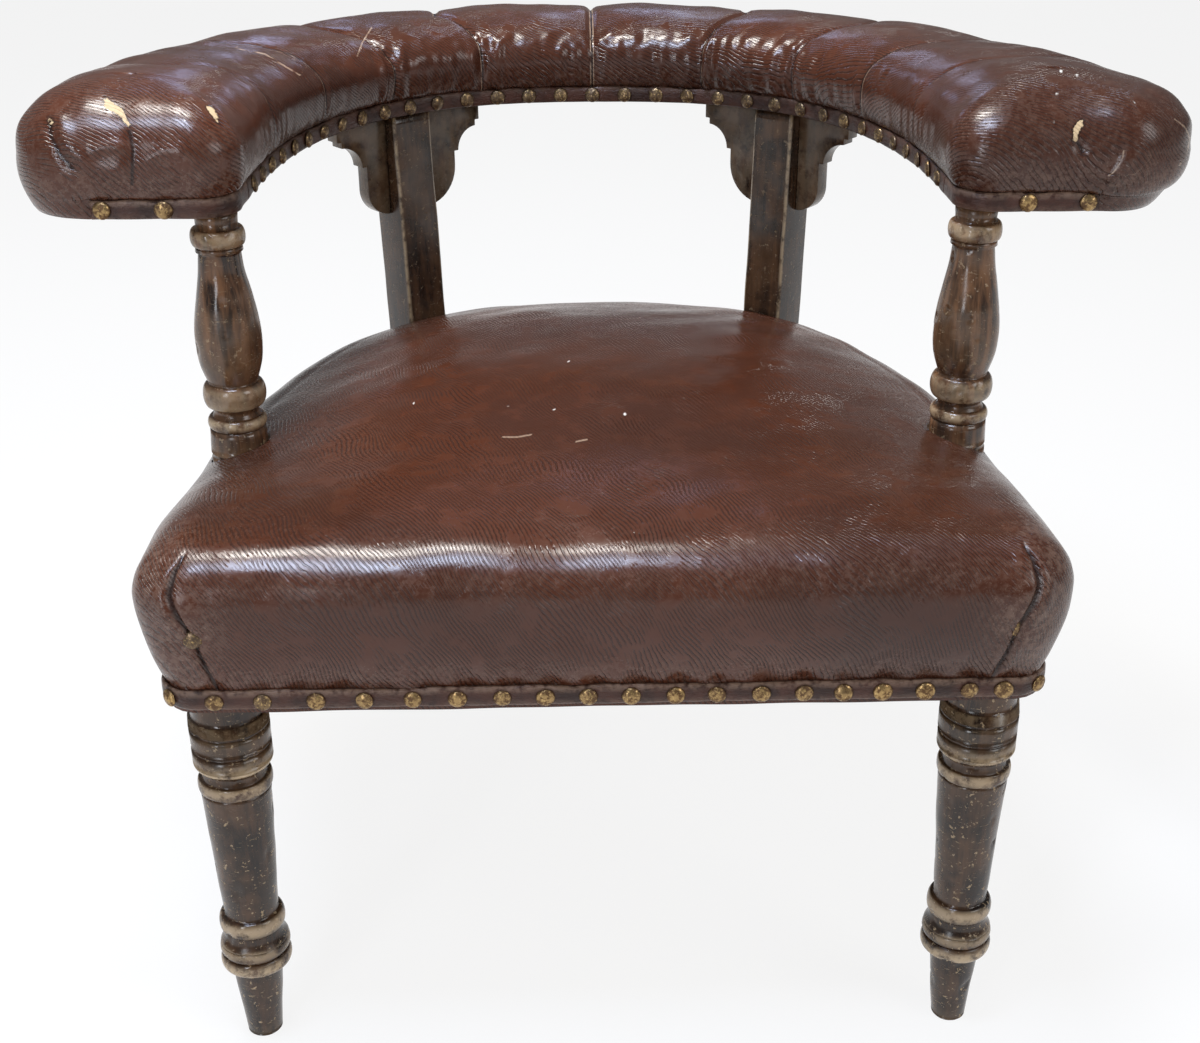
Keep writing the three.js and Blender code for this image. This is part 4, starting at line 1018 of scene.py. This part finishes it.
def strip(name, path, material, z0, tall, nails, replaces, wear=0.9):
    """Leather strip standing on a plan path, pressed in at its nails."""
    lengths = path_lengths(path)
    count = int(lengths[-1] / STRIP_STEP)
    marks = np.linspace(0, lengths[-1], count)
    xy = along(path, marks)
    normal = outward(xy, False)
    section = [(0.0, 0.0), (0.0018, 0.0003), (0.0025, 0.0016), (0.0027, 0.005), (0.0027, tall - 0.005),
               (0.0025, tall - 0.0015), (0.0017, tall - 0.0002), (0.0, tall)]
    press = np.zeros(count)
    for nail in nails:
        press = np.maximum(press, bump(marks, nail, 0.006))
    wave = ripples(np.column_stack([xy, np.full(count, z0)]), 0.03, 21)
    rows = []
    for out, height in section:
        outset = out * (1 - 0.25 * press) + (0.0003 * wave if out > 0 else 0)
        lift = 0.0006 * wave * (height / tall)
        rows.append(np.column_stack([xy + normal * outset[:, None], z0 + height + lift]))
    faces = grid_faces(len(section), count, wrap_columns=False, wrap_rows=True)
    for end in (0, count - 1):
        faces.append([r * count + end for r in range(len(section))])
    piece = make_piece(name, np.concatenate(rows), faces, material)
    heights = np.repeat([h for _, h in section], count)
    edge = np.maximum(bump(heights, tall - 0.0005, 0.0016), 0.6 * bump(heights, 0.0005, 0.0012))
    set_attribute(piece, "wear", edge * wear)
    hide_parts(replaces)


def nail_head(segments=20):
    """Domed head along +X: rings of points and faces."""
    profile = ((0.96, 0.0), (1, 0.0006), (0.9, 0.0014), (0.7, 0.0021), (0.42, 0.0026), (0.15, NAIL_HEIGHT))
    angle = np.linspace(0, 2 * math.pi, segments, endpoint=False)
    rings = []
    for share, out in profile:
        radius = NAIL_RADIUS * share
        rings.append(np.stack([np.full(segments, out), radius * np.cos(angle), radius * np.sin(angle)], 1))
    vertices = np.concatenate(rings + [[[0, 0, 0], [NAIL_HEIGHT, 0, 0]]])
    return vertices, grid_faces(len(profile), segments) + cap_faces(len(profile), segments)


def nail_row(name, places, normals, heights, material, seed, tarnish_and_shade=()):
    """One mesh of nail heads, each tilted a little its own way."""
    rng = np.random.default_rng(seed)
    head, head_faces = nail_head()
    vertices, faces, tarnish = [], [], []
    for i, (place, normal, z) in enumerate(zip(places, normals, heights)):
        turn = Matrix.Rotation(math.atan2(normal[1], normal[0]), 3, "Z")
        tilt = Matrix.Rotation(rng.normal(0, 0.10), 3, "Y") @ Matrix.Rotation(rng.normal(0, 0.10), 3, "Z")
        spin = Matrix.Rotation(rng.uniform(0, 6.28), 3, "X")
        size = rng.uniform(0.94, 1.06)
        dented = head.copy()
        dented[:, 0] *= 1 - 0.25 * rng.uniform() * (dented[:, 1] > 0.001)
        moved = (np.array(turn @ tilt @ spin) @ (dented * size).T).T + (place[0], place[1], z)
        faces += [[v + len(vertices) * len(head) for v in face] for face in head_faces]
        vertices.append(moved)
        tarnish.append(np.full(len(head), rng.uniform(0.6, 0.9) if i in tarnish_and_shade else rng.uniform(0, 0.35)))
    nails = make_piece(name, np.concatenate(vertices), faces, material)
    set_attribute(nails, "tarnish_and_shade", np.concatenate(tarnish))


def node_points(name):
    """Points of a solid of the part."""
    return np.array([v.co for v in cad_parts[name].data.vertices])


def seat_band_paths():
    """Plan paths of the four bands round the seat, with room for the rear posts."""
    plan = seat_plan()
    total = path_lengths(plan)[-1]

    def part(start, end):
        at = np.arange(start, end, PATH_STEP) % total
        return along(plan, at) + outward_at(plan, at) * (SKIN_OUT + SKIN_IN)

    ring = part(0, total)
    posts = {}
    for side in ("left", "right"):
        points = node_points(f"{side}_rear_post")
        level = points[np.abs(points[:, 2] - SEAT_BOTTOM) < 0.0005]
        posts[side] = PATH_STEP * np.argmin(np.linalg.norm(ring - level[:, :2].mean(0), axis=1))
    corner = SEAT_HALF + SEAT_CORNER
    return {
        "front": part(-corner, corner),
        "right": part(corner + BAND_GAP, posts["right"] - POST_GAP),
        "back": part(posts["right"] + POST_GAP, posts["left"] - POST_GAP),
        "left": part(posts["left"] + POST_GAP, total - corner - BAND_GAP),
    }


def even_nails(length, pitch, margin):
    """Distances of evenly spaced nails along a band."""
    count = max(1, round((length - 2 * margin) / pitch))
    return np.linspace(margin, length - margin, count + 1)


def place_nails(name, path, nails, level, brass, seed, tarnish_and_shade=()):
    """Nails at distances along a band, all at one height."""
    normal = outward_on(path, nails)
    places = along(path, nails) + normal * NAIL_OUTSET
    nail_row(name, places, normal, np.full(len(nails), level), brass, seed, tarnish_and_shade)


def make_seat_bands(band, brass):
    for seed, (side, path) in enumerate(seat_band_paths().items(), 31):
        length = path_lengths(path)[-1]
        if side == "front":
            nails = np.clip(np.array(FRONT_NAILS_MM) * MM + length / 2, 0.007, length - 0.007)
        else:
            nails = even_nails(length, 0.034, 0.014)
        strip(f"{side}_band_strip", path, band, SEAT_BOTTOM + BAND_LIFT, BAND_HEIGHT, nails,
              f"seat_{side}_band")
        tarnish_and_shade = (2,) if side == "front" else ()
        place_nails(f"{side}_band_nails", path, nails, SEAT_NAIL_LEVEL, brass, seed, tarnish_and_shade)


def arm_band_paths():
    """Plan paths of the bands along the arm's inner and outer edges and across its two ends."""
    loop, normal = arm_loop(PATH_STEP)
    lift = SKIN_OUT + SKIN_IN
    xy = arm_place(loop[:, 0] + normal[:, 0] * lift, loop[:, 1] + normal[:, 1] * lift)
    s, d = loop.T
    corner = ARM_END - ARM_OUTER_CORNER
    past_corner = np.flatnonzero(s > corner)
    first, last = past_corner.min(), past_corner.max()
    end_reach = ARM_END_HALF_WIDTH - ARM_OUTER_CORNER + END_STRIP_PAST
    flat_end = np.flatnonzero((s > corner) & (d < end_reach)).max()
    outer = xy[last + 1:len(loop) - last]
    end = xy[first:flat_end]
    inner = np.concatenate([xy[len(loop) - first + 1:], xy[:first]])
    return {"inner": inner, "outer": outer, "right": end, "left": (end * (-1, 1))[::-1]}


def make_arm_bands(band, brass):
    pitch = {"inner": 0.026, "outer": 0.050}
    for seed, (side, path) in enumerate(arm_band_paths().items(), 41):
        length = path_lengths(path)[-1]
        if side in pitch:
            nails = even_nails(length, pitch[side], 0.02)
        else:
            nails = np.array([length - 0.046, length - 0.007])
            nails = length - nails if side == "left" else nails
        # The inner strip gets less pale edge wear so that it reads darker: painted shade on the arm's inner
        # side.
        strip(f"arm_{side}_strip", path, band, ARM_BOTTOM, ARM_HEM, nails, f"arm_{side}_band",
              0.3 if side == "inner" else 0.9)
        # Inner band nails darkened: tarnish and painted shade.
        tarnish_and_shade = np.arange(len(nails)) if side == "inner" else ()
        place_nails(f"arm_{side}_nails", path, nails, ARM_BOTTOM + ARM_HEM / 2, brass, seed, tarnish_and_shade)


# Turned wood

class Profile:
    """Turned outline from the bottom up, from diameters and lengths in millimetres."""

    def __init__(self, start):
        self.z = start
        self.points = []

    def taper(self, first, last, length):
        for t in np.linspace(0, 1, max(2, int(length / 3))):
            self.points.append((first + (last - first) * t, self.z + length * t))
        self.z += length
        return self

    def bead(self, root, crown, length):
        for angle in np.linspace(0, math.pi, 13):
            t = (1 - math.cos(angle)) / 2
            self.points.append((root + (crown - root) * math.sin(angle) ** 0.8, self.z + length * t))
        self.z += length
        return self

    def cut(self, size, depth, width):
        for t, share in ((0, 0), (0.25, 0.7), (0.5, 1), (0.75, 0.7), (1, 0)):
            self.points.append((size - 2 * depth * share, self.z + width * t))
        self.z += width
        return self

    def swell(self, sizes, length):
        sizes = np.array(sizes, float)
        last = len(sizes) - 1
        slope = np.gradient(sizes)
        for t in np.linspace(0, last, 8 * last + 1):
            i = min(int(t), last - 1)
            u = t - i
            size = (2 * u ** 3 - 3 * u ** 2 + 1) * sizes[i] + (u ** 3 - 2 * u ** 2 + u) * slope[i]
            size += (3 * u ** 2 - 2 * u ** 3) * sizes[i + 1] + (u ** 3 - u ** 2) * slope[i + 1]
            self.points.append((size, self.z + length * t / last))
        self.z += length
        return self

    def outline(self):
        """Radii and heights in metres."""
        points = np.array(self.points)
        return points[:, 0] / 2 * MM, points[:, 1] * MM


def leg_profile():
    p = Profile(0.0)
    p.taper(21, 23, 1.2).taper(23, 34, 58.8).bead(41, 47.5, 11).bead(41, 46.5, 9).swell((45, 39.5, 38), 10)
    p.bead(37, 43.5, 13).taper(35.5, 45.5, 100).bead(45, 48, 9).swell((42, 40, 43), 9)
    p.swell((48, 50.1, 50.6), 3).taper(50.6, 50.6, 10).cut(50.6, 0.9, 2.2).taper(50.6, 50.6, 12)
    p.cut(50.6, 1, 2.6).taper(50.6, 49.6, 7).taper(46, 46, 22.9)
    return p.outline()


def spindle_profile():
    p = Profile(331.3)
    p.taper(40, 40, 14).cut(40, 0.9, 4).taper(40, 39.4, 14).cut(39.4, 0.9, 4).taper(39.4, 38, 16.7)
    p.bead(33, 40, 9).swell((33, 30, 33), 7).bead(34, 42.5, 17)
    p.swell((33, 42, 44.5, 42, 36.5, 31, 27.5), 91).taper(31, 30.5, 3.5)
    p.bead(30, 36, 12).taper(27, 28.5, 11.2)
    return p.outline()


def proud_share(radius, height):
    """1 where a turned outline stands proud of its neighbourhood, as on the rings, and 0 in hollows."""
    even = np.linspace(height[0], height[-1], 400)
    flat = np.interp(even, height, radius)
    reach = 15
    kernel = np.ones(2 * reach + 1) / (2 * reach + 1)
    mean = np.convolve(np.pad(flat, reach, mode="edge"), kernel, "valid")
    return np.clip((radius - np.interp(height, even, mean)) / 0.0022, 0, 1)


def turn_piece(name, outline, x, y, material, replaces, seed, knocks):
    """Revolved piece with dents, pale on its rings (rubbed wear, partly painted highlight) and knocked near
    the floor.
    """
    radius, height = outline
    rings = len(radius)
    angle = np.linspace(0, 2 * math.pi, SEGMENTS, endpoint=False)
    away = np.stack([np.cos(angle), np.sin(angle), np.zeros(SEGMENTS)], 1)
    axis = np.column_stack([np.full(rings, x), np.full(rings, y), height])
    grid = axis[:, None] + radius[:, None, None] * away
    dents = 0.00025 * ripples(grid, 0.03, seed)
    dents -= 0.0011 * smoothstep(ripples(grid, 0.014, seed + 1), 0.85, 1.25)
    grid = grid + away * dents[..., None]
    vertices = np.concatenate([grid.reshape(-1, 3), axis[[0, -1]]])
    faces = grid_faces(rings, SEGMENTS) + cap_faces(rings, SEGMENTS)
    piece = make_piece(name, vertices, faces, material)
    # Pale rings: rubbed wear, partly painted highlight.
    wear = np.repeat(proud_share(radius, height), SEGMENTS)
    set_attribute(piece, "wear", np.concatenate([wear, [0, 0]]))
    low = smoothstep(height, 0.10, 0.02) if height[0] < 0.01 else np.zeros(rings)
    knocked = np.repeat(knocks + (1 - knocks) * low, SEGMENTS)
    set_attribute(piece, "knocks", np.concatenate([knocked, [1, 0]]))
    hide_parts(replaces)


def make_turned(wood, painted_lit_wood):
    for side, hand in (("left", -1), ("right", 1)):
        low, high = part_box(f"{side}_front_leg")
        middle = (low + high) / 2
        turn_piece(f"{side}_turned_leg", leg_profile(), middle.x, middle.y, wood, f"{side}_front_leg",
                   51 + hand, 0.75)
        # Spindles in the lighter copy of the wood: painted light.
        turn_piece(f"{side}_turned_spindle", spindle_profile(), hand * SPINDLE_X, SPINDLE_Y, painted_lit_wood,
                   f"{side}_arm_spindle", 61 + hand, 0.45)


# Rear posts and ears

def rounded_square(size, radius):
    """Outline of a square with rounded corners, about its centre."""
    half = size / 2 - radius
    points = []
    for k, (cx, cy) in enumerate(((half, half), (-half, half), (-half, -half), (half, -half))):
        for a in np.linspace(0, math.pi / 2, POST_CORNER_POINTS):
            angle = a + k * math.pi / 2
            points.append((cx + radius * math.cos(angle), cy + radius * math.sin(angle)))
    return np.array(points)


def post_levels(name):
    """Centres of the solid post at its foot, at both edges of the seat rail and at its head."""
    points = node_points(name)
    levels = []
    for z in (0.0, SEAT_BOTTOM, 0.331, POST_TOP):
        ring = points[np.abs(points[:, 2] - z) < 0.0006]
        centre = ring[:, :2].mean(0)
        reach = np.linalg.norm(ring[:, :2] - centre, axis=1)
        ring = ring[reach > 0.012]
        levels.append((z, *ring[:, :2].mean(0)))
    return np.array(levels)


def post_frame(side):
    """Centres of a rear post at its levels and the way it is turned."""
    levels = post_levels(f"{side}_rear_post")
    lean = levels[0, 1:] - levels[1, 1:]
    return levels, math.atan2(lean[1], lean[0])


def post_shape(levels, turn, extra=0.0):
    """Square post with rounded edges; extra makes the cutter that clears it."""
    spin = np.array([[math.cos(turn), -math.sin(turn)], [math.sin(turn), math.cos(turn)]])
    heights = np.concatenate([[0, 0.001], np.arange(0.006, 0.534, 0.006), [POST_TOP]])
    rows = []
    for z in heights:
        centre = [np.interp(z, levels[:, 0], levels[:, i]) for i in (1, 2)]
        size = np.interp(z, [0, SEAT_BOTTOM], [POST_FOOT_SIZE, POST_SIZE]) - (0.002 if z == 0 else 0)
        plan = rounded_square(size + 2 * extra, POST_EDGE) @ spin.T + centre
        rows.append(np.column_stack([plan, np.full(len(plan), z)]))
    vertices = np.concatenate(rows)
    columns = len(rows[0])
    faces = grid_faces(len(heights), columns)
    faces.append(list(range(columns))[::-1])
    faces.append([len(vertices) - columns + i for i in range(columns)])
    return vertices, faces


def make_post(side, wood):
    levels, turn = post_frame(side)
    vertices, faces = post_shape(levels, turn)
    waves = 0.00025 * ripples(vertices, 0.05, 71 if side == "left" else 72)
    vertices = vertices + waves[:, None] * (1, 1, 0)
    post = make_piece(f"{side}_post", vertices, faces, wood)
    place = np.arange(len(vertices)) % POST_CORNER_POINTS
    corner = 1 - np.abs(place - POST_CORNER_POINTS // 2) / (POST_CORNER_POINTS // 2)
    low = smoothstep(vertices[:, 2], 0.08, 0.01)
    set_attribute(post, "wear", np.clip(corner * 0.8 + 0.4 * low, 0, 1))
    set_attribute(post, "knocks", 0.25 + 0.75 * low)
    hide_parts(f"{side}_rear_post")
    return levels, turn


def ear_outline(width):
    """Fret-cut bracket in its own plane: x away from the post, y down from the arm."""
    tip, notch, cove, step = EAR_HEIGHT * 0.2, 0.004, 0.018, EAR_HEIGHT * 0.06
    quarter = width - 2 * notch - cove
    points = [(0, 0), (0, -EAR_HEIGHT)]
    for a in np.linspace(-math.pi / 2, 0, 12)[1:]:
        points.append((quarter * math.cos(a), -EAR_HEIGHT + quarter + quarter * math.sin(a)))
    low = -tip - step - cove
    points += [(quarter, low), (quarter + notch, low)]
    for a in np.linspace(math.pi, math.pi / 2, 12)[1:]:
        points.append((quarter + notch + cove + cove * math.cos(a), low + cove * math.sin(a)))
    points += [(width - notch, -tip), (width, -tip), (width, 0)]
    return points


def make_ear(name, head, direction, width, wood, replaces):
    bm = bmesh.new()
    ring = [bm.verts.new((x, -EAR_THICKNESS / 2, y)) for x, y in ear_outline(width)]
    face = bm.faces.new(ring)
    made = bmesh.ops.extrude_face_region(bm, geom=[face])
    moved = [v for v in made["geom"] if isinstance(v, bmesh.types.BMVert)]
    bmesh.ops.translate(bm, verts=moved, vec=(0, EAR_THICKNESS, 0))
    bmesh.ops.recalc_face_normals(bm, faces=bm.faces)
    sharp = [e for e in bm.edges if len(e.link_faces) == 2 and e.calc_face_angle() > 0.7]
    bmesh.ops.bevel(bm, geom=sharp, offset=0.0008, segments=2, affect="EDGES", profile=0.6)
    turn = Matrix.Rotation(direction, 4, "Z")
    to_head = Matrix.Translation((head[1], head[2], POST_TOP))
    bm.transform(to_head @ turn @ Matrix.Translation((EAR_OUT, 0, 0)))
    bmesh.ops.triangulate(bm, faces=[f for f in bm.faces if len(f.verts) > 4])
    vertices = np.array([v.co for v in bm.verts])
    bm.verts.index_update()
    faces = [[v.index for v in f.verts] for f in bm.faces]
    bm.free()
    ear = make_piece(name, vertices, faces, wood)
    ear.data.set_sharp_from_angle(angle=math.radians(35))
    set_attribute(ear, "wear", np.full(len(vertices), 0.15))
    set_attribute(ear, "knocks", np.full(len(vertices), 0.12))
    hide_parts(replaces)


def make_posts(wood):
    for side, hand in (("left", -1), ("right", 1)):
        levels, turn = make_post(side, wood)
        back = turn + hand * math.pi / 2
        make_ear(f"{side}_back_bracket", levels[-1], back, BACK_EAR_WIDTH, wood, f"{side}_back_ear")
        make_ear(f"{side}_side_bracket", levels[-1], back + math.pi, SIDE_EAR_WIDTH, wood, f"{side}_side_ear")


# Solids that stay as they are

def dress_solids():
    bare = bare_wood_material()
    canvas = weave_material("seat_canvas_weave", (0.34, 0.27, 0.17), (0.20, 0.15, 0.09), 0.0024)
    webbing = weave_material("webbing_weave", (0.36, 0.26, 0.14), (0.17, 0.115, 0.06), 0.0042)
    wire = spring_material()
    for name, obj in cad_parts.items():
        if name.endswith("_rail") or name.endswith("_block"):
            material = bare
        elif name.endswith("_spring"):
            material = wire
        elif name == "seat_canvas":
            material = canvas
        elif name == "seat_webbing":
            material = webbing
        else:
            continue
        obj.data.materials.clear()
        obj.data.materials.append(material)


# Stage

def make_stage():
    """Pale round studio: a floor and a low wall, seen near white but keeping the chair's shadow."""
    s = Shader("pale_studio")
    s.finish((0.90, 0.90, 0.895, 1), 0.9)
    path = s.node("ShaderNodeLightPath")
    seen = s.math("MAXIMUM", path.outputs["Is Camera Ray"], path.outputs["Is Glossy Ray"])
    seen = s.math("MAXIMUM", seen, path.outputs["Is Transmission Ray"])
    glow = s.node("ShaderNodeEmission")
    glow.inputs["Color"].default_value = (1, 1, 1, 1)
    glow.inputs["Strength"].default_value = 1.0
    both = s.node("ShaderNodeMixShader")
    s.put(both.inputs[0], s.times(seen, GLOW_SHARE))
    s.tree.links.new(s.surface.outputs[0], both.inputs[1])
    s.tree.links.new(glow.outputs[0], both.inputs[2])
    s.tree.links.new(both.outputs[0], s.tree.nodes["Material Output"].inputs["Surface"])
    bpy.ops.mesh.primitive_cylinder_add(vertices=96, radius=STUDIO_RADIUS, depth=STUDIO_WALL,
                                        end_fill_type="NGON", location=(0, 0, STUDIO_WALL / 2))
    studio = bpy.context.object
    studio.name = "studio"
    bm = bmesh.new()
    bm.from_mesh(studio.data)
    lid = [f for f in bm.faces if f.calc_center_median().z > 0.1]
    bmesh.ops.delete(bm, geom=lid, context="FACES_ONLY")
    bmesh.ops.reverse_faces(bm, faces=bm.faces)
    bm.to_mesh(studio.data)
    bm.free()
    studio.data.materials.append(s.material)


def add_lamp(name, place, target, size, watts, color=(1, 1, 1)):
    data = bpy.data.lights.new(name, "AREA")
    data.shape = "RECTANGLE"
    data.size, data.size_y = size
    data.energy = watts
    data.color = color
    lamp = bpy.data.objects.new(name, data)
    lamp.location = place
    lamp.rotation_euler = (Vector(target) - Vector(place)).to_track_quat("-Z", "Y").to_euler()
    lamp.visible_camera = False
    bpy.context.scene.collection.objects.link(lamp)


def make_light():
    world = bpy.data.worlds.new("studio")
    bpy.context.scene.world = world
    world.use_nodes = True
    background = world.node_tree.nodes["Background"]
    background.inputs["Color"].default_value = (0.97, 0.98, 1.0, 1)
    background.inputs["Strength"].default_value = 0.20
    add_lamp("key", (-0.41, 0.28, 2.4), (-0.41, -0.1, 0.4), (0.72, 0.36), 38, (1.0, 0.97, 0.92))
    add_lamp("front_window", (-0.40, -0.58, 2.25), (-0.40, -0.2, 0.4), (0.68, 0.56), 40, (0.66, 0.77, 1.0))
    add_lamp("low_front", (-0.95, -1.9, 0.95), (-0.05, -0.25, 0.3), (0.3, 1.0), 9, (0.92, 0.95, 1.0))
    add_lamp("fill", (1.7, -1.3, 1.5), (0, 0, 0.35), (1.0, 1.0), 14)
    add_lamp("left_window", (-0.50, 1.75, 1.27), (-0.50, -0.1, 0.4), (0.24, 0.22), 0.7, (0.50, 0.62, 1.0))
    add_lamp("right_window", (0.13, 1.95, 1.33), (0.13, -0.1, 0.4), (0.30, 0.22), 0.7, (0.55, 0.66, 1.0))


def make_camera():
    data = bpy.data.cameras.new("photo_camera")
    data.sensor_width = SENSOR
    data.sensor_fit = "HORIZONTAL"
    data.lens = FOCAL_PIXELS * SENSOR / PHOTO_SIZE[0]
    data.shift_x = -(CENTRE_PIXEL[0] - PHOTO_SIZE[0] / 2) / PHOTO_SIZE[0]
    data.shift_y = (CENTRE_PIXEL[1] - PHOTO_SIZE[1] / 2) / PHOTO_SIZE[0]
    camera = bpy.data.objects.new("photo_camera", data)
    right, up, forward = camera_axes()
    turn = Matrix((right, up, -forward)).transposed().to_4x4()
    camera.matrix_world = Matrix.Translation(CAMERA_PLACE) @ turn
    bpy.context.scene.collection.objects.link(camera)
    bpy.context.scene.camera = camera


leather = leather_material()
band = band_material()
brass = brass_material()
dark_wood = wood_material()
# The spindles get a lighter copy of the leg wood, with weaker grime: painted light on them.
spindle_wood_painted_lit = wood_material("spindle_wood_painted_lit", 2.8)

seat = make_seat(leather)
notch_seat(seat)
make_pleat_nails(brass)
make_arm(leather)
make_seat_bands(band, brass)
make_arm_bands(band, brass)
make_turned(dark_wood, spindle_wood_painted_lit)
make_posts(dark_wood)
dress_solids()
make_stage()
make_light()
make_camera()
bpy.context.scene.view_settings.view_transform = "Standard"

bpy.context.view_layer.update()
